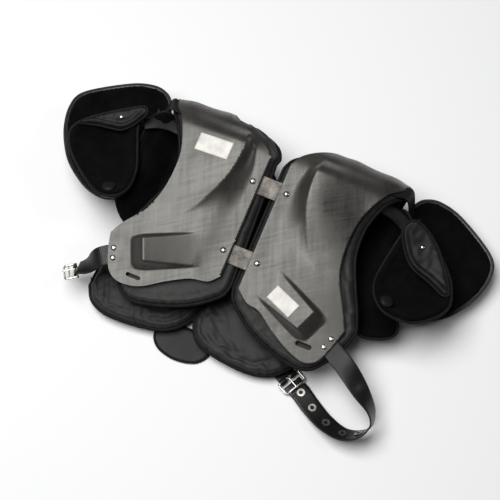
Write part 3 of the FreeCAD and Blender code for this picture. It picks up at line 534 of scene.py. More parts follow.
REAR_LINER = [
    [(1, 80), (1, -128)],
    [(1, -128), (14, -147), (34, -158), (70, -164), (103, -164), (126, -155), (140, -138)],
    [(140, -138), (144, -100), (138, -40), (134, 20), (138, 70), (154, 110), (161, 146)],
    [(161, 146), (60, 146)], [(60, 146), (36, 124), (14, 100), (1, 80)],
]
SLOT_AT = (115.5, -118.5)
SLOT_SIZE = (20.0, 5.0)


def front_liner(reach, side):
    """Plan of the front liner; reach is how far out its lower corner comes."""
    return [
        [(6, 80), (6, -84)],
        [(6, -84), (14, -101), (49, -126), (98, -143), (reach - 36, -141), (reach - 9, -106), (reach, -79)],
        [(reach, -79), (reach - 9, -55), (145, -24), (132, 10), (131, 46), (141, 78), (157, 110), (163, 146)],
    ] + LINER_TOP[side]


def lean_at(y):
    """Sideways shift of the rear panels below the shoulder: the pads lie slightly twisted."""
    return 36.0 * np.clip(84.0 - np.asarray(y, float), 0, None) / 249.0


def leaned(path, side):
    """Rear outline of one side, drawn on the right, with the shift that both sides share."""
    path = np.array(path, float)
    path[:, 0] -= side * lean_at(path[:, 1])
    return path


def from_crown(stretches):
    """Plan outline opened at the crown: down the inner edge, round the bottom and up the outer edge."""
    path = outline(stretches, 0.4)
    above = path[:, 1] >= CROWN_Y
    start = np.flatnonzero(above & ~np.roll(above, -1))[0]
    path = np.roll(path, -(start + 1), 0)
    return path[path[:, 1] < CROWN_Y]


def arch_ring(front, rear, side, step):
    """Closed outline over the arch's (x, run) sheet from its front and rear plans."""
    down = from_crown(front)
    back = leaned(from_crown(rear)[::-1], side)
    down = np.stack([down[:, 0], front_run(down[:, 1])], -1)
    back = np.stack([back[:, 0], rear_run(back[:, 1])], -1)
    return even(np.concatenate([down, back]), step)


def slot_ring(centre, length, width, count=10):
    """Round-ended slot as a ring of points."""
    r = width / 2
    turn = np.linspace(-math.pi / 2, math.pi / 2, count)
    end = np.stack([length / 2 - r + r * np.cos(turn), r * np.sin(turn)], -1)
    return np.concatenate([end, -end]) + centre


# ---- arch shells -------------------------------------------------------------------------------

CREASE = curve([(49, 90), (48, 70), (52, 45), (62, 20), (77, -8), (88, -22)], 1.5)
LEAF_FOOT = curve([(36, 88), (29, 65), (27, 42), (27, 22), (29, 6), (38, -6), (58, -20), (88, -33)], 1.5)
PLATEAU = 11.0
BOSS_START = np.array([40.0, -61.0])
BOSS_WAY = np.array([0.911, -0.411])
BOSS_LENGTH = 73.0
BOSS_RISE = 12.5
BOSS_END = 17.0
BOSS_TOP_SIDE = np.array([(42.0, -40.0), (115.0, -78.0)])
BOSS_SHIFT = {1: np.array([0.0, 0.0]), -1: np.array([8.0, 6.0])}
BOSS_LOW_SIDE = np.array([(38.0, -83.0), (101.0, -104.0)])


def beside(points, line):
    """Signed distance to an endless line, positive on its left."""
    way = (line[1] - line[0]) / np.linalg.norm(line[1] - line[0])
    off = points - line[0]
    return way[0] * off[:, 1] - way[1] * off[:, 0]


def wall(t):
    """Step from 0 to 1 with a straight middle and softly rounded ends."""
    t = np.clip(t, 0, 1)
    return 0.7 * t + 0.3 * ramp(t)


def boss(points, side):
    """Wedge that rises from nothing at its inner end to a steep outer end."""
    points = points - BOSS_SHIFT[side]
    run = (points - BOSS_START) @ BOSS_WAY
    share = np.clip(run / BOSS_LENGTH, 0, 1)
    rise = BOSS_RISE * share ** 1.5
    upper = -beside(points, BOSS_TOP_SIDE)
    lower = beside(points, BOSS_LOW_SIDE)
    side_a = wall(1 + upper / (1.5 + 4.5 * share))
    side_b = wall(1 + lower / (1.5 + 7.0 * share))
    end = wall(1 - (run - BOSS_LENGTH) / BOSS_END)
    return rise * side_a * side_b * end


def relief(points, rim, side):
    """Height of the front panel's pressed shape over its plane, at plan points rim away from its edge."""
    x, y = points.T
    away, crease_side = distance(points, CREASE, closed=False)
    foot, foot_side = distance(points, LEAF_FOOT, closed=False)
    high = PLATEAU * ramp((y + 34) / 92)
    top = 1 - ramp((y - 84) / 28)
    plateau = high * (1 - 0.85 * ramp(away / 78))
    share = np.where(foot_side > 0, foot / (foot + away + 1e-6), 0.0)
    leaf = high * (0.30 * share + 0.70 * share ** 2.2)
    body = np.where(crease_side > 0, plateau, leaf) * top
    bulge = 2.6 * np.clip(1 - ((x - 88) / 72) ** 2, 0, 1) * ramp((y + 130) / 70) * ramp((x - 24) / 30)
    inner_rim = ramp((x - EDGE - 2) / 14)
    return (body + bulge * top) * inner_rim + boss(points, side) * ramp((rim - 3) / 6)


def crown_relief(x, s):
    """Shallow pressed waves over the shoulder bend."""
    on = ramp((s - 12) / 26) * ramp((150 - s) / 40)
    waves = 1.3 * np.sin((x - 60) / 11.5) * ramp((x - 70) / 20) * ramp((158 - x) / 22)
    dent = -2.2 * np.exp(-((x - 92) / 19) ** 4 - ((s - CROWN_S + 14) / 6.5) ** 4)
    return waves * on + dent


def shell(name, side):
    ring = arch_ring(FRONT_SHELL[side], REAR_SHELL, side, 1.8)
    slot = slot_ring(SLOT_AT, *SLOT_SIZE)
    slot[:, 1] = front_run(slot[:, 1])
    creases = [np.stack([c[:, 0], front_run(c[:, 1])], -1) for c in (CREASE[2:-1],)]
    flat, tris = fill(ring, 2.0, holes=[slot], lines=creases)
    rim = np.minimum(distance(flat, ring)[0], distance(flat, slot)[0] + 2)
    x, s = flat.T
    lift = np.zeros(len(flat))
    front = s < front_run(112)
    plan = np.stack([x, plan_y(s)], -1)
    lift[front] = relief(plan[front], rim[front], side)
    lift += crown_relief(x, s) * ramp((rim - 2) / 10)
    upper = arch(x, s, lift)
    lower = arch(x, s, lift - WALL)
    obj = sheet(name, tris, upper, lower, side)
    return bevelled(obj, 0.7, 50)


shells = {name: shell(f"{name}_shell_skin", side) for name, side in SIDES}

# ---- padded liners -----------------------------------------------------------------------------


def quilt(points, rim, seed):
    """Fine wrinkles that gather at a cushion's rim."""
    rng = np.random.default_rng(seed)
    total = np.zeros(len(points))
    for _ in range(9):
        angle = rng.uniform(0, math.pi)
        length = rng.uniform(9, 26)
        phase = rng.uniform(0, 2 * math.pi)
        total += np.sin((points @ [math.cos(angle), math.sin(angle)]) * 2 * math.pi / length + phase)
    return 0.16 * total * np.exp(-((rim - 12) / 16) ** 2)


def plump(rim, thick, soft):
    """Half-thickness of a cushion at a distance from its rim."""
    t = np.clip(rim / soft, 0, 1)
    return thick / 2 * np.sqrt(1 - (1 - t) ** 2)


LINER_TOP_LIFT = -5.6
FRONT_LINER_THICK = 18.0
REAR_LINER_THICK = 16.0


def arch_liner(name, side):
    """Padding of one half: under the front panel, round the bend and over the rear panel."""
    reach = 169.0 if side > 0 else 166.0
    shift = 0.0 if side > 0 else -8.0
    front = [[(x + shift * ramp((80 - y) / 60), y) for x, y in points]
             for points in front_liner(reach, side)]
    ring = arch_ring(front, REAR_LINER, side, 2.6)
    flat, tris = fill(ring, 4.2)
    rim = distance(flat, ring)[0]
    x, s = flat.T
    rear = ramp((s - CROWN_S) / 60)
    thick = FRONT_LINER_THICK + (REAR_LINER_THICK - FRONT_LINER_THICK) * rear
    middle = LINER_TOP_LIFT - thick / 2
    half = plump(rim, thick, 9.0)
    groove = -1.5 * np.exp(-((rim - 11) / 1.8) ** 2)
    wrinkle = quilt(flat, rim, 5 if side > 0 else 6)
    upper = arch(x, s, middle + half + np.where(rim > 0.1, groove + wrinkle, 0))
    lower = arch(x, s, middle - half - np.where(rim > 0.1, groove + 2.2 * wrinkle, 0))
    obj = pillow(name, tris, upper, lower, side, ramp((6 - rim) / 4), (1.6, 6.0))
    obj = subdivided(obj)
    edge = arch(ring[:, 0], ring[:, 1], np.interp(ring[:, 1], [0, BEND_LENGTH], [-12.0, -12.5]))
    piping = tube(name.replace("padding", "piping"), edge, 2.3, closed=True, side=side)
    return obj, piping


liners = {name: arch_liner(f"{name}_padding", side) for name, side in SIDES}

# ---- armhole panels ----------------------------------------------------------------------------

ARMHOLE_INNER = [
    [(124, -44), (114, -15), (113, 20), (118, 55), (130, 84)],
    [(130, 84), (146, 99)],
    [(146, 99), (168, 98), (186, 84)],
]
ARMHOLE = {
    1: [[(186, 84), (190, -14)],
        [(190, -14), (200, -28), (211, -39), (214, -49), (210, -58), (197, -66), (178, -71), (158, -64),
         (138, -54), (124, -44)]] + ARMHOLE_INNER,
    -1: [[(186, 84), (186, -16)], [(186, -16), (176, -38), (158, -50), (140, -56), (124, -44)]] + ARMHOLE_INNER,
}
ARMHOLE_MIDDLE = 33.0
# rise of the panel's outer part towards the cup, where it starts and how wide it is
ARMHOLE_CLIMB = {1: (12.0, 148.0, 22.0), -1: (33.0, 139.0, 28.0)}


def armhole_level(x, y, side):
    """Middle height of the suede panel between the liners and the cup."""
    climb, start, width = ARMHOLE_CLIMB[side]
    outer = climb * ramp((x - start) / width) * ramp((y + 52) / 24)
    return ARMHOLE_MIDDLE + 6.0 * ramp((136 - x) / 26) + outer + 16.0 * ramp((y - 70) / 30)


def armhole_panel(name, side):
    """Suede panel under the arm: it carries two long folds and rises to the cup."""
    ring = even(outline(ARMHOLE[side], 1.0), 2.4)
    flat, tris = fill(ring, 3.4)
    rim = distance(flat, ring)[0]
    x, y = flat.T
    level = armhole_level(x, y, side)
    half = plump(rim, 11.0, 7.0)
    fold = 1.6 * np.sin((x - 0.10 * y - 118) / 4.4) * ramp((rim - 3) / 8) * ramp((y + 46) / 50)
    upper = np.stack([x, y, level + half + fold], -1)
    lower = np.stack([x, y, level - half], -1)
    obj = subdivided(pillow(name, tris, upper, lower, side, ramp((5 - rim) / 4), (3.0, 0.5)))
    edge = np.column_stack([ring, armhole_level(*ring.T, side) + 1.5])
    piping = tube(name.replace("panel", "piping"), edge, 1.9, closed=True, side=side)
    return obj, piping


armholes = {name: armhole_panel(f"{name}_armhole_panel", side) for name, side in SIDES}

# ---- epaulets ----------------------------------------------------------------------------------

EPAULET = [
    [(170, 112), (176, 127), (186, 136), (204, 140), (232, 134), (268, 114), (293, 92), (298, 69),
     (292, 42), (278, 16), (260, -5), (229, -26), (205, -33), (187, -30), (168, -14)],
    [(168, -14), (169, 60)], [(169, 60), (170, 112)],
]
EPAULET_BOWL = {1: ((225.0, 50.0), 230.0, 11.0), -1: ((225.0, 50.0), 230.0, 32.5)}
CUP = {
    1: [
        [(176, 70), (170, 40), (166, 10), (166, -10), (173, -28), (188, -42), (210, -45), (230, -41),
         (253, -22), (262, -4), (261, 10), (254, 30), (240, 49)],
        [(240, 49), (219, 68), (196, 84), (183, 80), (176, 70)],
    ],
    -1: [
        [(190, 88), (193, 68), (182, 40), (170, 13), (165, -9), (166, -26), (174, -38), (190, -43), (206, -38),
         (231, -22), (254, -3), (266, 13), (270, 27), (266, 39)],
        [(266, 39), (246, 54), (222, 70), (204, 84), (190, 88)],
    ],
}
CUP_BOWL = {1: ((215.0, 20.0), 150.0, 45.0), -1: ((215.0, 20.0), 150.0, 63.0)}


def bowl(bowl_of, x, y, depth=0.0):
    """Height of a dish's face, the given depth inside its outer one."""
    (cx, cy), radius, low = bowl_of
    reach = radius - depth
    return low + radius - np.sqrt(reach ** 2 - (x - cx) ** 2 - (y - cy) ** 2)


def bowl_normal(bowl_of, point):
    (cx, cy), radius, low = bowl_of
    away = np.array([cx, cy, low + radius]) - point
    return away / np.linalg.norm(away)


def epaulet(name, side):
    ring = even(outline(EPAULET, 1.0), 2.2)
    flat, tris = fill(ring, 3.6)
    rim = distance(flat, ring)[0]
    x, y = flat.T
    flare = 1.6 * np.exp(-(rim / 5.0) ** 2)
    upper = np.stack([x, y, bowl(EPAULET_BOWL[side], x, y, 2.4) + flare], -1)
    lower = np.stack([x, y, bowl(EPAULET_BOWL[side], x, y, 0.0) + flare], -1)
    skin = bevelled(sheet(f"{name}_epaulet_skin", tris, upper, lower, side), 0.6, 50)
    rim_z = bowl(EPAULET_BOWL[side], *ring.T, 1.2) + 1.6
    bead = tube(f"{name}_epaulet_bead", np.column_stack([ring, rim_z]), 1.7, closed=True, side=side)
    border = shrunk(ring, 3.0)
    flat, tris = fill(border, 3.6)
    rim = distance(flat, border)[0]
    x, y = flat.T
    half = plump(rim, 4.4, 4.0)
    wrinkle = 1.2 * quilt(flat, np.clip(rim, 0, 14), 11 if side > 0 else 12)
    ripple = 0.5 * np.sin((x + 0.7 * y) / 9.0) * ramp(rim / 12)
    middle = bowl(EPAULET_BOWL[side], x, y, 2.5 + 2.4) + 1.6 * np.exp(-((rim + 3.0) / 5.0) ** 2)
    upper = np.stack([x, y, middle + half + np.where(rim > 0.1, wrinkle + ripple, 0)], -1)
    lower = np.stack([x, y, middle - half], -1)
    lining = pillow(f"{name}_epaulet_suede", tris, upper, lower, side, ramp((5 - rim) / 4), (3.0, 0.2))
    lining = subdivided(lining)
    return skin, bead, lining


def shrunk(ring, inset):
    """Outline moved inwards, tidied to even spacing."""
    way = np.roll(ring, -1, 0) - np.roll(ring, 1, 0)
    way /= np.linalg.norm(way, axis=1, keepdims=True)
    moved = ring + np.stack([-way[:, 1], way[:, 0]], -1) * inset
    area = np.sum(ring[:, 0] * np.roll(ring[:, 1], -1) - np.roll(ring[:, 0], -1) * ring[:, 1])
    if area < 0:
        moved = ring - (moved - ring)
    keep = distance(moved, ring)[0] > inset * 0.96
    return even(moved[keep], 2.2)


epaulets = {name: epaulet(name, side) for name, side in SIDES}

# ---- cups --------------------------------------------------------------------------------------

CUP_PAD_LOW = 2.6
CUP_PAD_THICK = 11.0
SNAP_AT = (189.0, -29.0)
LIP = {
    1: [(174, 68), (177, 79), (186, 84), (196, 82), (207, 77), (218, 69), (228, 59), (237, 47), (246, 34),
        (253, 21), (257, 11), (250, 8), (237, 15), (224, 21), (209, 26), (197, 33), (186, 45), (178, 57)],
    -1: [(186, 80), (188, 86), (196, 87), (217, 77), (239, 63), (256, 48), (264, 37), (256, 40), (240, 46),
         (224, 49), (210, 52), (200, 60), (192, 70)],
}
LIP_ROLL = {
    1: [(177, 61), (186, 47), (197, 35), (210, 28), (225, 23), (238, 17), (250, 10)],
    -1: [(190, 75), (197, 64), (208, 55), (222, 50), (238, 47), (254, 41)],
}
LIP_RIVET = {1: (204.0, 57.0), -1: (216.0, 65.0)}


def cup(name, side):
    ring = even(outline(CUP[side], 1.0), 2.2)
    flat, tris = fill(shrunk(ring, 1.0), 3.4)
    x, y = flat.T
    upper = np.stack([x, y, bowl(CUP_BOWL[side], x, y, 2.4)], -1)
    lower = np.stack([x, y, bowl(CUP_BOWL[side], x, y, 0.0)], -1)
    skin = bevelled(sheet(f"{name}_cup_skin", tris, upper, lower, side), 0.6, 50)
    flat, tris = fill(ring, 3.2)
    rim = distance(flat, ring)[0]
    x, y = flat.T
    half = plump(rim, CUP_PAD_THICK, 6.5)
    hollow = -3.4 * ramp((rim - 7) / 9) - 1.3 * np.exp(-((rim - 10.5) / 1.6) ** 2)
    wrinkle = quilt(flat, np.clip(rim, 0, 16), 21 if side > 0 else 22)
    middle = bowl(CUP_BOWL[side], x, y, CUP_PAD_LOW + CUP_PAD_THICK / 2)
    inner = rim > 0.1
    upper = np.stack([x, y, middle + half + np.where(inner, hollow + wrinkle, 0)], -1)
    lower = np.stack([x, y, middle - half], -1)
    pad = subdivided(pillow(f"{name}_cup_cushion", tris, upper, lower, side, ramp((12 - rim) / 5), (3.0, 0.2)))
    edge = np.column_stack([ring, bowl(CUP_BOWL[side], *ring.T, CUP_PAD_LOW + CUP_PAD_THICK / 2) + 0.5])
    piping = tube(f"{name}_cup_piping", edge, 2.0, closed=True, side=side)
    return skin, pad, piping, snap_button(name, side, pad)


def snap_button(name, side, pad):
    """Cloth-covered press stud that sits in a dimple of the cup's pad."""
    points = np.array([tuple(v.co) for v in pad.data.vertices]) / MM - [0, ORIGIN_Y / MM, 0]
    near = np.hypot(points[:, 0] - side * SNAP_AT[0], points[:, 1] - SNAP_AT[1]) < 5
    seat = np.array([*SNAP_AT, points[near, 2].max() - 0.6])
    verts, faces = lathe([(0, 1.5), (4.4, 1.5), (5.6, 1.2), (6.2, 0.5), (6.6, 0.3), (7.6, 1.0), (8.2, 0.6),
                          (8.4, -1.2), (0, -1.2)])
    normal = bowl_normal(CUP_BOWL[side], seat)
    return welded(make_mesh(f"{name}_cup_stud", seated(verts, seat, normal), faces, side))


def cup_lip(name, side):
    """Padded leaf that lies on the cup's upper edge and ends in a thick roll."""
    ring = even(curve(LIP[side], 1.0, closed=True), 2.0)
    flat, tris = fill(ring, 2.6)
    x, y = flat.T
    rim = distance(flat, ring)[0]
    roll = distance(flat, curve(LIP_ROLL[side], 1.5), closed=False)[0]
    base = bowl(CUP_BOWL[side], x, y) + CUP_PAD_LOW + CUP_PAD_THICK
    puff = plump(rim, 8.0, 6.0)
    roll_rise = 2.6 * np.exp(-(roll / 4.0) ** 2) - 1.4 * np.exp(-((roll - 7.5) / 2.0) ** 2)
    wrinkle = quilt(flat, np.clip(rim, 0, 10), 31 if side > 0 else 32)
    inner = rim > 0.1
    upper = np.column_stack([flat, base + 1.5 + puff + np.where(inner, roll_rise * ramp(rim / 4) + wrinkle, 0)])
    lower = np.column_stack([flat, base + 1.2 - 0.4 * puff])
    leaf = subdivided(pillow(f"{name}_cup_lip", tris, upper, lower, side))
    rim_z = bowl(CUP_BOWL[side], *ring.T) + CUP_PAD_LOW + CUP_PAD_THICK + 1.3
    piping = tube(f"{name}_cup_lip_piping", np.column_stack([ring, rim_z]), 1.7, closed=True, side=side)
    near = np.argmin(np.hypot(x - LIP_RIVET[side][0], y - LIP_RIVET[side][1]))
    return leaf, piping, upper[near]


cups = {name: cup(name, side) for name, side in SIDES}
lips = {name: cup_lip(name, side) for name, side in SIDES}

# ---- flexible straps at the shoulder -----------------------------------------------------------


def shoulder_straps(name, side):
    """Hanger that drops from under the shell to the epaulet, and the tab that holds the cup."""
    low = float(bowl(EPAULET_BOWL[side], 182.0, 112.0, 2.6)) + 1.4
    under = on_front(np.array([140.0, 152.0]), np.array([112.0, 112.0]), -4.3)
    middle = (low + 84) / 2
    drop = [(162, 112, 84), (168, 112, 76), (171.5, 112, middle), (174, 112, low + 9), (181, 112, low), (188, 112, low)]
    path = curve(np.concatenate([under, np.array(drop, float)]), 2.0)
    tangent = np.gradient(path, axis=0)
    tangent /= np.linalg.norm(tangent, axis=1, keepdims=True)
    share = ramp((path[:, 0] - 150) / 18)[:, None]
    across = np.array([0.0, 0.90, -0.44]) * (1 - share) + np.array([0.05, 1.0, 0.0]) * share
    across /= np.linalg.norm(across, axis=1, keepdims=True)
    section = strap_section(19.0, 2.2, 0.0)
    run = np.concatenate([[0], np.cumsum(np.linalg.norm(np.diff(path, axis=0), axis=1))])
    verts, uvs = [], []
    for p, t, w, u in zip(path, tangent, across, run):
        face = np.cross(w, t)
        face /= np.linalg.norm(face)
        verts.append(p + section[:, :1] * w + section[:, 1:] * face)
        uvs += [(u * MM, a * MM) for a in section[:, 0]]
    n, m = len(path), len(section)
    faces = [(i * m + k, (i + 1) * m + k, (i + 1) * m + (k + 1) % m, i * m + (k + 1) % m)
             for i in range(n - 1) for k in range(m)]
    faces += [tuple(range(m)), tuple((n - 1) * m + k for k in range(m))[::-1]]
    hanger = welded(make_mesh(f"{name}_epaulet_hanger", np.concatenate(verts), faces, side, uvs))
    end = float(bowl(CUP_BOWL[side], 188.0, 72.0, 1.4))
    tab, _, _ = ribbon(f"{name}_cup_tab", [(128, 84, 74, 0), (142, 86, 73.5, 0), (158, 86, 0.5 * (74 + end), 0),
                                          (174, 81, end + 1, 0), (188, 74, end, 0)], 17.0, 2.4, side, crown=0.8)
    return hanger, tab


shoulder = {name: shoulder_straps(name, side) for name, side in SIDES}

# ---- webbing -----------------------------------------------------------------------------------


def webbing_strip(name, y, front):
    shift = 0.0 if front else -float(lean_at(y))
    xs = np.linspace(-30, 30, 31)
    depth = -(3.0 + 0.85)
    sag = -0.9 * np.cos(xs / 13 * math.pi / 2) * (np.abs(xs) < 13)
    centre = on_front(0, y) if front else np.array([0, y, 0.0])
    up = UP_FRONT if front else np.array([0, 0, 1.0])
    along = np.array([0, math.cos(SLOPE), math.sin(SLOPE)]) if front else np.array([0, 1.0, 0])
    level = depth if front else 3.0 + 0.85
    section = strap_section(25.0, 1.5, 0.0)
    verts = [centre + [x + shift, 0, 0] + section[:, :1] * along + (section[:, 1:] + level + (g if front else 0)) * up
             for x, g in zip(xs, sag)]
    n, m = len(xs), len(section)
    faces = [(i * m + k, (i + 1) * m + k, (i + 1) * m + (k + 1) % m, i * m + (k + 1) % m)
             for i in range(n - 1) for k in range(m)]
    faces += [tuple(range(m)), tuple((n - 1) * m + k for k in range(m))[::-1]]
    uvs = [(x * MM, a * MM) for x in xs for a in section[:, 0]]
    return welded(make_mesh(name, np.concatenate(verts), faces, 1, uvs))


WEB_LEVELS = (("upper", 47.0), ("lower", -47.0))
webs = {f"{level}_{panel}": webbing_strip(f"{level}_{panel}_web", y, panel == "front")
        for level, y in WEB_LEVELS for panel in ("front", "rear")}

# ---- belts -------------------------------------------------------------------------------------

BUCKLE_YAW = math.radians(-27)
REAR_BUCKLE = np.array([109.3, -148.7, 4.6])
SIDE_YAW = math.radians(-36)
SIDE_ROLL = math.radians(36)
SIDE_BUCKLE = np.array([192.5, -131.0, 30.0])


def from_buckle(distance_out, height, roll=180.0):
    way = np.array([math.cos(BUCKLE_YAW), math.sin(BUCKLE_YAW)])
    return (*(REAR_BUCKLE[:2] + way * distance_out), height, roll)


def flat_station(x, y):
    p = on_front(x, y, -4.3)
    return (*p, FLAT_ROLL)


FLAT_ROLL = -9.5
belt, belt_path, belt_face = ribbon("right_belt_loop", [
    flat_station(122, -93), flat_station(141.7, -105), flat_station(157, -114), flat_station(176, -125),
    (202, -142, 46, 20), (221, -156, 38, 55), (228, -172, 30, 88), (218, -186, 23, 122),
    (199, -192, 17, 145), (175, -186, 11, 162), (152, -173.5, 6.2, 174),
    from_buckle(25, 3.2), from_buckle(18, 2.2), from_buckle(7, 2.0)], 25.4, 2.0)
LEFT_BELT = [flat_station(131, -87), flat_station(151, -101), flat_station(166, -111.5)]
side_turn = np.array(Matrix.Rotation(SIDE_YAW, 3, "Z"))
for offset, roll in (((-18, 0, 11.0), 12.0), ((-9, 1.0, 5.4), 26.0), ((-3.0, 2.2, 3.2), 34.0)):
    LEFT_BELT.append((*(SIDE_BUCKLE + side_turn @ np.array(offset)), roll))
left_belt, _, _ = ribbon("left_belt_strap", LEFT_BELT, 25.4, 2.0, side=-1)


def wrap(name, centre, yaw, side, roll=0.0, gap=7.0):
    """Strap end folded round a buckle's bar, slotted for the prong."""
    halves = []
    width = 25.4
    for k, (low, high) in enumerate(((-width / 2, -gap / 2), (gap / 2, width / 2))):
        turn = np.linspace(-math.pi * 0.72, math.pi * 0.72, 20)
        outer = np.stack([3.7 * np.cos(turn), 3.7 * np.sin(turn)], -1)
        inner = outer * (1.9 / 3.7)
        loop = np.concatenate([outer, inner[::-1]])
        verts = np.concatenate([np.column_stack([loop[:, 0], np.full(len(loop), y), loop[:, 1]])
                                for y in np.linspace(low, high, 4)])
        m = len(loop)
        faces = [(i * m + j, i * m + (j + 1) % m, (i + 1) * m + (j + 1) % m, (i + 1) * m + j)
                 for i in range(3) for j in range(m)]
        faces += [tuple(range(m))[::-1], tuple(3 * m + j for j in range(m))]
        turned = np.array(Matrix.Rotation(yaw, 3, "Z") @ Matrix.Rotation(-roll, 3, "X"))
        halves.append(welded(make_mesh(f"{name}_{k}", verts @ turned.T + centre, faces, side)))
    return bevelled(joined(name, halves), 0.3, 50)


right_wrap = wrap("right_chape_loop", REAR_BUCKLE, BUCKLE_YAW, 1)
left_wrap = wrap("left_belt_fold", SIDE_BUCKLE, SIDE_YAW, -1, SIDE_ROLL)
chape_way = -np.array([math.cos(BUCKLE_YAW), math.sin(BUCKLE_YAW)])


def flat_strip(name, start, end, z, side=1):
    """Straight strap lying flat between two plan points."""
    stations = [(*p, z, 0.0) for p in np.linspace(start, end, 5)]
    return ribbon(name, stations, 25.4, 2.0, side)[0]


chape = flat_strip("right_chape_strap", REAR_BUCKLE[:2] + chape_way * 3.0, REAR_BUCKLE[:2] + chape_way * 42, 4.1)
rear_yaw = math.radians(-153)
rear_way = np.array([math.cos(rear_yaw), math.sin(rear_yaw)])
rear_start = np.array([-132.0, -101.0]) + np.array([-math.sin(rear_yaw), math.cos(rear_yaw)]) * 12.7
rear_strap = flat_strip("left_rear_strap_piece", rear_start, rear_start + rear_way * 52, 4.1)


# ---- buckles -----------------------------------------------------------------------------------


def buckle(name, centre, yaw, side, double_bar, roll=0.0):
    """Round-cornered wire frame with its hinge bar, and the prong that turns on it."""
    wide, long, corner, r = 31.0, 15.5, 3.6, 1.45
    path = [(0.0, -wide / 2)]
    for cx, cy, start in ((long - corner, -wide / 2 + corner, -90), (long - corner, wide / 2 - corner, 0)):
        for a in np.radians(np.linspace(start, start + 90, 7)):
            path.append((cx + corner * math.cos(a), cy + corner * math.sin(a)))
    path.append((0.0, wide / 2))
    turn = np.array(Matrix.Rotation(yaw, 3, "Z") @ Matrix.Rotation(-roll, 3, "X"))
    place = lambda rows: np.array(rows) @ turn.T + centre
    rim = even(np.array([(x, y, 0.0) for x, y in path]), 1.2, closed=False)
    parts = [tube(f"{name}_rim", place(rim), r, side=side, around=14)]
    bars = [0.0] + ([long * 0.62] if double_bar else [])
    for k, x in enumerate(bars):
        line = [(x, y, 0.0) for y in np.linspace(-wide / 2 - 0.5, wide / 2 + 0.5, 12)]
        parts.append(tube(f"{name}_bar{k}", place(line), 1.5 if k == 0 else 1.25, side=side, around=14))
    if not double_bar:
        line = [(long, y, 0.0) for y in np.linspace(-11, 11, 12)]
        parts.append(tube(f"{name}_roller", place(line), 2.3, side=side, around=16))
    frame_piece = joined(f"{name}_wire", parts)
    eye = [(2.7 * math.cos(a), 0.0, 2.7 * math.sin(a)) for a in np.linspace(-2.6, 1.35, 16)]
    finger = [(5.0, 0, 3.0), (9.0, 0, 3.0), (12.5, 0, 2.9), (15.5, 0, 3.0), (18.0, 0, 2.9)]
    prong_path = curve(eye + finger, 0.8)
    thick = np.interp(np.arange(len(prong_path)), [0, len(prong_path) - 4, len(prong_path) - 1], [1.0, 1.0, 0.5])
    prong = tube(f"{name}_tongue", place(prong_path), thick, side=side, around=12)
    return frame_piece, prong


right_buckle = buckle("right_buckle", REAR_BUCKLE, BUCKLE_YAW, 1, False)
left_buckle = buckle("left_buckle", SIDE_BUCKLE, SIDE_YAW, -1, True, SIDE_ROLL)

# ---- labels, flap, rivets ----------------------------------------------------------------------


def label_patch(name, centre, length, width, turn, side):
    """Blank label that follows the pressed front panel."""
    a = math.radians(turn)
    along, across = np.array([math.cos(a), math.sin(a)]), np.array([-math.sin(a), math.cos(a)])
    us, vs = np.linspace(-length / 2, length / 2, 24), np.linspace(-width / 2, width / 2, 13)
    plan = np.array([np.array(centre) + along * u + across * v for v in vs for u in us])
    ring = arch_ring(FRONT_SHELL[side], REAR_SHELL, side, 2.0)
    rim = distance(np.stack([plan[:, 0], front_run(plan[:, 1])], -1), ring)[0]
    height = relief(plan, rim, side)
    upper = on_front(plan[:, 0], plan[:, 1], height + 0.45)
    lower = on_front(plan[:, 0], plan[:, 1], height + 0.02)
    n = len(us)
    tris = []
    for i in range(len(vs) - 1):
        for k in range(n - 1):
            a0, b0, c0, d0 = i * n + k, i * n + k + 1, (i + 1) * n + k + 1, (i + 1) * n + k
            tris += [(a0, b0, c0), (a0, c0, d0)]
    return sheet(name, np.array(tris), upper, lower, side)


labels = {
    "left": label_patch("left_blank_label", (85, 69), 46.0, 23.0, 0.0, -1),
    "right": label_patch("right_blank_label", (72, -79), 38.0, 20.0, -22.5, 1),
}

FLAP = [
    [(-8, -138), (-54, -138)],
    [(-54, -138), (-66, -149), (-70, -162), (-60, -175), (-42, -181), (-24, -181), (-6, -175), (4, -162),
     (2, -149), (-8, -138)],
]
flap_ring = even(outline(FLAP, 1.0), 2.2)
flat, tris = fill(flap_ring, 2.6)
rim = distance(flat, flap_ring)[0]
ripple = 0.25 * np.sin(flat[:, 0] / 5.0) * ramp(rim / 6) + 0.2 * np.sin((flat[:, 1] + flat[:, 0]) / 7.0)
half = plump(rim, 2.6, 3.0)
flap_upper = np.column_stack([flat, 2.0 + half + np.where(rim > 0.1, ripple, 0)])
flap_lower = np.column_stack([flat, 2.0 - half])
flap = subdivided(pillow("rear_flap_padding", tris, flap_upper, flap_lower))
flap_piping = tube("rear_flap_piping", np.column_stack([flap_ring, np.full(len(flap_ring), 2.2)]), 1.6, closed=True)

# ---- materials ---------------------------------------------------------------------------------


def add(tree, kind, inputs=None, **settings):
    """New shader node; inputs may be values or other nodes' sockets."""
    made = tree.nodes.new(kind)
    for key, value in settings.items():
        setattr(made, key, value)
    for key, value in (inputs or {}).items():
        if isinstance(value, bpy.types.NodeSocket):
            tree.links.new(value, made.inputs[key])
        else:
            made.inputs[key].default_value = value
    return made


def grey(value, warm=0.0):
    return (value * (1 + warm), value, value * (1 - warm * 1.6), 1.0)


def ramp_node(tree, source, *stops):
    """Colour ramp over a factor; stops are (position, colour)."""
    made = add(tree, "ShaderNodeValToRGB", {"Fac": source})
    elements = made.color_ramp.elements
    while len(elements) < len(stops):
        elements.new(0.5)
    for element, (position, colour) in zip(elements, stops):
        element.position = position
        element.color = colour
    return made


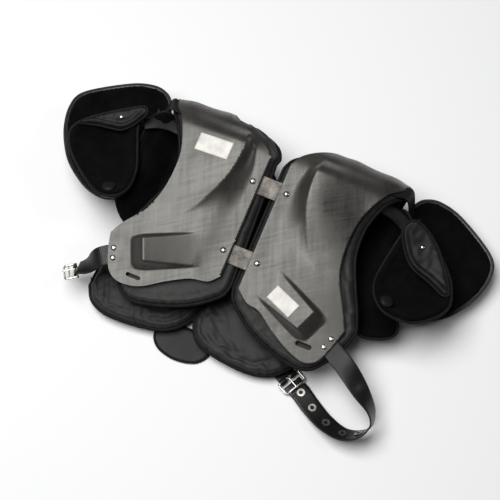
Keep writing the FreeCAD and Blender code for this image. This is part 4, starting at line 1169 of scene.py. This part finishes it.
def noise(tree, vector, scale, detail=4.0, rough=0.55, stretch=None, turn=0.0):
    """Noise, squeezed by stretch along axes turned about Z by some degrees."""
    if stretch:
        inverse = tuple(1 / k for k in stretch)
        vector = add(tree, "ShaderNodeMapping", {"Vector": vector, "Rotation": (0, 0, math.radians(turn)),
                                                 "Scale": inverse}, vector_type="TEXTURE").outputs["Vector"]
    return add(tree, "ShaderNodeTexNoise", {"Vector": vector, "Scale": scale, "Detail": detail,
                                            "Roughness": rough}).outputs["Fac"]


def material(name, build):
    """Procedural material; build gets its tree, a coordinate node and the principled shader."""
    made = bpy.data.materials.new(name)
    made.use_nodes = True
    tree = made.node_tree
    shader = next(n for n in tree.nodes if n.type == "BSDF_PRINCIPLED")
    build(tree, add(tree, "ShaderNodeTexCoord"), shader)
    return made


def put(tree, shader, **inputs):
    for key, value in inputs.items():
        key = {"Color": "Base Color", "Specular": "Specular IOR Level", "Coat": "Coat Weight",
               "Coat_Roughness": "Coat Roughness", "Sheen": "Sheen Weight",
               "Sheen_Roughness": "Sheen Roughness"}.get(key, key)
        if isinstance(value, bpy.types.NodeSocket):
            tree.links.new(value, shader.inputs[key])
        else:
            shader.inputs[key].default_value = value


def bump(tree, height, strength, distance_mm):
    return add(tree, "ShaderNodeBump", {"Height": height, "Strength": strength,
                                        "Distance": distance_mm * MM}).outputs["Normal"]


def total(tree, *terms):
    """Sum of (socket, weight) pairs."""
    out = None
    for socket, weight in terms:
        part = add(tree, "ShaderNodeMath", {0: socket, 1: weight}, operation="MULTIPLY").outputs[0]
        out = part if out is None else add(tree, "ShaderNodeMath", {0: out, 1: part}).outputs[0]
    return out


def shell_plastic(tree, at, shader):
    place = at.outputs["Object"]
    broad = noise(tree, place, 9.0, 5.0)
    smear = noise(tree, place, 26.0, 6.0, 0.7, stretch=(1.0, 0.35, 1.0))
    fine = noise(tree, place, 900.0, 2.0)
    scratch = noise(tree, place, 60.0, 3.0, 0.5, stretch=(0.25, 6.0, 1.0), turn=34)
    cross = noise(tree, place, 47.0, 3.0, 0.5, stretch=(5.0, 0.3, 1.0), turn=21)
    dirt = total(tree, (broad, 0.5), (smear, 0.5))
    colour = ramp_node(tree, dirt, (0.30, grey(0.016, 0.04)), (0.50, grey(0.026, 0.06)), (0.72, grey(0.046, 0.08)))
    lines = total(tree, (scratch, 0.5), (cross, 0.5))
    rough = add(tree, "ShaderNodeMapRange", {"Value": total(tree, (dirt, 0.6), (lines, 0.4)), "From Min": 0.40,
                                             "From Max": 0.60, "To Min": 0.24, "To Max": 0.48}).outputs[0]
    normal = bump(tree, total(tree, (fine, 0.35), (smear, 0.5), (lines, 0.35)), 0.32, 0.40)
    put(tree, shader, Color=colour.outputs["Color"], Roughness=rough, Specular=0.60, Normal=normal)
    shader.inputs["Specular Tint"].default_value = (1.0, 0.99, 0.93, 1.0)


def thin_plastic(tree, at, shader):
    place = at.outputs["Object"]
    patch = noise(tree, place, 20.0, 5.0)
    colour = ramp_node(tree, patch, (0.35, grey(0.012)), (0.65, grey(0.026)))
    put(tree, shader, Color=colour.outputs["Color"], Roughness=0.42, Specular=0.5,
        Normal=bump(tree, noise(tree, place, 700.0, 2.0), 0.2, 0.2))


def bead_grey(tree, at, shader):
    place = at.outputs["Object"]
    patch = noise(tree, place, 40.0, 5.0)
    colour = ramp_node(tree, patch, (0.3, grey(0.012, 0.03)), (0.7, grey(0.035, 0.05)))
    put(tree, shader, Color=colour.outputs["Color"], Roughness=0.55, Specular=0.16,
        Normal=bump(tree, noise(tree, place, 500.0, 2.0), 0.25, 0.3))


def suede(tree, at, shader):
    place = at.outputs["Object"]
    nap = noise(tree, place, 34.0, 6.0, 0.65)
    fibre = noise(tree, place, 1300.0, 2.0)
    colour = ramp_node(tree, nap, (0.32, grey(0.0016)), (0.68, grey(0.0042)))
    put(tree, shader, Color=colour.outputs["Color"], Roughness=0.97, Specular=0.03, Sheen=0.012,
        Sheen_Roughness=0.6, Normal=bump(tree, total(tree, (fibre, 0.5), (nap, 0.5)), 0.35, 0.4))


def liner_cloth(tree, at, shader):
    place = at.outputs["Object"]
    patch = noise(tree, place, 18.0, 5.0)
    crease = noise(tree, place, 75.0, 5.0, 0.6, stretch=(1.0, 0.3, 1.0))
    weave = add(tree, "ShaderNodeTexVoronoi", {"Vector": place, "Scale": 850.0}).outputs["Distance"]
    colour = ramp_node(tree, patch, (0.3, grey(0.010)), (0.7, grey(0.021, 0.03)))
    put(tree, shader, Color=colour.outputs["Color"], Roughness=0.62, Specular=0.34, Sheen=0.04,
        Normal=bump(tree, total(tree, (weave, 0.35), (crease, 0.9)), 0.5, 0.5))


def piping_cloth(tree, at, shader):
    place = at.outputs["Object"]
    patch = noise(tree, place, 60.0, 4.0)
    grain = noise(tree, place, 800.0, 3.0)
    colour = ramp_node(tree, patch, (0.3, grey(0.004)), (0.7, grey(0.009, 0.03)))
    put(tree, shader, Color=colour.outputs["Color"], Roughness=0.6, Specular=0.12,
        Normal=bump(tree, total(tree, (grain, 0.5), (patch, 0.5)), 0.4, 0.3))


def leather(tree, at, shader):
    place = at.outputs["Object"]
    pores = add(tree, "ShaderNodeTexVoronoi", {"Vector": place, "Scale": 520.0}).outputs["Distance"]
    patch = noise(tree, place, 45.0, 6.0)
    colour = ramp_node(tree, patch, (0.3, grey(0.006)), (0.7, grey(0.013, 0.03)))
    put(tree, shader, Color=colour.outputs["Color"], Roughness=0.50, Specular=0.16,
        Normal=bump(tree, total(tree, (pores, 0.6), (patch, 0.8)), 0.45, 0.4))


def vinyl(tree, at, shader):
    place = at.outputs["UV"]
    ribs = add(tree, "ShaderNodeTexWave", {"Vector": place, "Scale": 150.0, "Distortion": 0.6,
                                           "Detail": 2.0}, bands_direction="X").outputs["Fac"]
    patch = noise(tree, at.outputs["Object"], 50.0, 4.0)
    colour = ramp_node(tree, patch, (0.3, grey(0.004)), (0.7, grey(0.010)))
    put(tree, shader, Color=colour.outputs["Color"], Roughness=0.34, Specular=0.22, Coat=0.06, Coat_Roughness=0.12,
        Normal=bump(tree, total(tree, (ribs, 0.8), (patch, 0.6)), 0.4, 0.4))


def webbing_cloth(tree, at, shader):
    place = at.outputs["UV"]
    warp = add(tree, "ShaderNodeTexWave", {"Vector": place, "Scale": 260.0}, bands_direction="Y").outputs["Fac"]
    weft = add(tree, "ShaderNodeTexWave", {"Vector": place, "Scale": 330.0}, bands_direction="X").outputs["Fac"]
    grime = noise(tree, at.outputs["Object"], 42.0, 6.0, 0.7)
    colour = ramp_node(tree, grime, (0.36, grey(0.07, 0.06)), (0.5, grey(0.26, 0.08)), (0.66, grey(0.48, 0.08)))
    weave = total(tree, (warp, 0.5), (weft, 0.5))
    mixed = add(tree, "ShaderNodeMix", {"Factor": weave, "A": (0.55, 0.55, 0.55, 1), "B": (1, 1, 1, 1)},
                data_type="RGBA")
    tint = add(tree, "ShaderNodeMix", {"Factor": 1.0}, data_type="RGBA", blend_type="MULTIPLY")
    tree.links.new(colour.outputs["Color"], tint.inputs[6])
    tree.links.new(mixed.outputs[2], tint.inputs[7])
    put(tree, shader, Color=tint.outputs[2], Roughness=0.7, Normal=bump(tree, weave, 0.7, 0.4))


def nickel(tree, at, shader):
    place = at.outputs["Object"]
    wear = noise(tree, place, 130.0, 4.0)
    colour = ramp_node(tree, wear, (0.3, (0.50, 0.47, 0.42, 1)), (0.7, (0.80, 0.78, 0.73, 1)))
    rough = add(tree, "ShaderNodeMapRange", {"Value": wear, "To Min": 0.16, "To Max": 0.36}).outputs[0]
    put(tree, shader, Color=colour.outputs["Color"], Metallic=1.0, Roughness=rough,
        Normal=bump(tree, noise(tree, place, 400.0, 2.0), 0.12, 0.2))


def dull_nickel(tree, at, shader):
    place = at.outputs["Object"]
    wear = noise(tree, place, 160.0, 4.0)
    colour = ramp_node(tree, wear, (0.3, (0.20, 0.19, 0.17, 1)), (0.7, (0.46, 0.44, 0.40, 1)))
    put(tree, shader, Color=colour.outputs["Color"], Metallic=1.0, Roughness=0.38)


def paper(tree, at, shader):
    place = at.outputs["Object"]
    smudge = noise(tree, place, 70.0, 5.0)
    colour = ramp_node(tree, smudge, (0.3, grey(0.50, 0.05)), (0.6, grey(0.70, 0.04)))
    put(tree, shader, Color=colour.outputs["Color"], Roughness=0.45,
        Normal=bump(tree, noise(tree, place, 300.0, 2.0), 0.1, 0.1))


def floor_white(tree, at, shader):
    haze = noise(tree, at.outputs["Object"], 0.6, 2.0)
    colour = ramp_node(tree, haze, (0.3, grey(0.86)), (0.7, grey(0.88)))
    put(tree, shader, Color=colour.outputs["Color"], Roughness=0.9, Specular=0.1)


def edge_plastic(tree, at, shader):
    place = at.outputs["Object"]
    patch = noise(tree, place, 80.0, 4.0)
    colour = ramp_node(tree, patch, (0.3, grey(0.06)), (0.7, grey(0.12, 0.04)))
    put(tree, shader, Color=colour.outputs["Color"], Roughness=0.5)


LOOKS = {f.__name__: material(f.__name__, f) for f in (
    shell_plastic, thin_plastic, bead_grey, suede, liner_cloth, piping_cloth, leather, vinyl, webbing_cloth, nickel,
    dull_nickel, paper, floor_white, edge_plastic)}


def dress(obj, slot, *looks):
    """Give a piece its materials; the slot argument, the record's material slot, is not used."""
    obj.data.materials.clear()
    for look in looks:
        obj.data.materials.append(LOOKS[look])


# ---- pieces onto bodies ------------------------------------------------------------------------

for name, side in SIDES:
    half = f"{name}_half"
    dress(shells[name], "shell_plastic", "shell_plastic", "shell_plastic", "edge_plastic")
    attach(shells[name], half)
    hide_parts(f"{name}_arch_shell")
    padding, piping = liners[name]
    dress(padding, "liner_fabric", "liner_cloth", "suede")
    dress(piping, "liner_fabric", "piping_cloth")
    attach(padding, half)
    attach(piping, half)
    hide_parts(f"{name}_front_liner", f"{name}_rear_liner")
    panel, piping = armholes[name]
    dress(panel, "suede", "suede", "suede")
    dress(piping, "suede", "piping_cloth")
    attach(panel, half)
    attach(piping, half)
    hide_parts(f"{name}_armhole_pad")
    skin, bead, lining = epaulets[name]
    dress(skin, "flap_plastic", "thin_plastic", "thin_plastic", "bead_grey")
    dress(bead, "flap_plastic", "bead_grey")
    dress(lining, "suede", "suede", "suede")
    for piece in epaulets[name]:
        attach(piece, f"{name}_epaulet")
    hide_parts(f"{name}_epaulet")
    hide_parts(f"{name}_epaulet_lining")
    skin, pad, piping, stud = cups[name]
    dress(stud, "suede", "leather")
    dress(skin, "flap_plastic", "thin_plastic", "thin_plastic", "thin_plastic")
    dress(pad, "suede", "suede", "suede")
    dress(piping, "suede", "piping_cloth")
    leaf, lip_piping, rivet_seat = lips[name]
    dress(leaf, "strap_leather", "leather")
    dress(lip_piping, "strap_leather", "piping_cloth")
    verts, faces = lathe([(0, 2.1), (1.2, 2.0), (2.4, 1.5), (3.2, 0.7), (3.5, 0.0), (3.3, -0.6), (0, -0.6)])
    rivet = welded(make_mesh(f"{name}_cup_rivet_head", seated(verts, rivet_seat + [0, 0, 0.5], (0.1, 0.2, 1)),
                             faces, side))
    dress(rivet, "rivet_nickel", "nickel")
    for piece in (skin, pad, piping, stud, leaf, lip_piping, rivet):
        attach(piece, f"{name}_cup")
    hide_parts(f"{name}_cup_shell")
    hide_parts(f"{name}_cup_pad")
    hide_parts(f"{name}_cup_snap")
    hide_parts(f"{name}_cup_rivet")
    hanger, tab = shoulder[name]
    dress(hanger, "strap_leather", "leather")
    dress(tab, "strap_leather", "leather")
    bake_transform(hanger)
    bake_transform(tab)
    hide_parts(f"{name}_epaulet_strap")
    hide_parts(f"{name}_cup_strap")
    dress(labels[name], "label_paper", "paper", "paper", "paper")
    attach(labels[name], half)
    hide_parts(f"{name}_label")

for key, web in webs.items():
    level, panel = key.split("_")
    dress(web, "webbing", "webbing_cloth")
    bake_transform(web)
    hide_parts(f"{level}_{panel}_webbing")

dress(belt, "belt_vinyl", "vinyl")
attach(belt, "right_half")
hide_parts("right_belt")
dress(left_belt, "belt_vinyl", "vinyl")
dress(left_wrap, "belt_vinyl", "vinyl")
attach(left_belt, "left_half")
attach(left_wrap, "left_half")
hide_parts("left_belt")
dress(chape, "belt_vinyl", "vinyl")
dress(right_wrap, "belt_vinyl", "vinyl")
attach(chape, "right_half")
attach(right_wrap, "right_half")
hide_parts("right_chape")
dress(rear_strap, "belt_vinyl", "vinyl")
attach(rear_strap, "left_half")
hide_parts("left_rear_strap")
for name, (wire, tongue) in (("right", right_buckle), ("left", left_buckle)):
    dress(wire, "buckle_nickel", "nickel")
    dress(tongue, "buckle_nickel", "nickel")
    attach(wire, f"{name}_buckle")
    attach(tongue, f"{name}_prong")
    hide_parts(f"{name}_buckle_frame")
    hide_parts(f"{name}_buckle_prong")
dress(flap, "liner_fabric", "liner_cloth", "liner_cloth")
dress(flap_piping, "liner_fabric", "piping_cloth")
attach(flap, "rear_flap")
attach(flap_piping, "rear_flap")
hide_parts("rear_centre_flap")

CAD_LOOKS = {"rivets": "nickel", "eyelets": "dull_nickel"}
for obj in bpy.context.scene.objects:
    for ending, look in CAD_LOOKS.items():
        if obj.type == "MESH" and obj.name not in pieces and obj.name.endswith(ending):
            if not obj.material_slots:
                obj.data.materials.append(LOOKS[look])
            for place in obj.material_slots:
                place.material = LOOKS[look]

# ---- floor, light and camera -------------------------------------------------------------------

TARGET = Vector((0.0081, -0.0029, 0.0761))
AZIMUTH, ELEVATION = math.radians(23.2), math.radians(68.0)
DISTANCE = 1.6
LENS_PER_METRE = 57.6

bpy.ops.mesh.primitive_plane_add(size=12.0, location=(0, 0, 0))
floor = bpy.context.object
floor.name = "floor"
floor.data.materials.append(LOOKS["floor_white"])

camera_data = bpy.data.cameras.new("camera")
camera_data.lens = LENS_PER_METRE * DISTANCE
camera_data.sensor_width = 36.0
camera = bpy.data.objects.new("camera", camera_data)
back = Vector((math.sin(AZIMUTH) * math.cos(ELEVATION), -math.cos(AZIMUTH) * math.cos(ELEVATION),
               math.sin(ELEVATION)))
camera.location = TARGET + back * DISTANCE
camera.rotation_euler = back.to_track_quat("Z", "Y").to_euler()
bpy.context.scene.collection.objects.link(camera)
bpy.context.scene.camera = camera


def softbox(name, direction, away, width, height, power):
    """Area light in a direction from the object, facing it."""
    data = bpy.data.lights.new(name, "AREA")
    data.shape = "RECTANGLE"
    data.size, data.size_y = width, height
    data.energy = power
    lamp = bpy.data.objects.new(name, data)
    way = Vector(direction).normalized()
    lamp.location = TARGET + way * away
    lamp.rotation_euler = way.to_track_quat("Z", "Y").to_euler()
    bpy.context.scene.collection.objects.link(lamp)


softbox("overhead", (-0.30, -0.04, 0.95), 2.2, 1.9, 1.45, 63)
softbox("window", (0.62, 0.30, 0.72), 2.4, 0.5, 0.5, 4)

world = bpy.data.worlds.new("studio")
world.use_nodes = True
background = world.node_tree.nodes["Background"]
background.inputs["Color"].default_value = (0.93, 0.96, 1.0, 1)
background.inputs["Strength"].default_value = 0.06
bpy.context.scene.world = world
bpy.context.scene.view_settings.view_transform = "Standard"
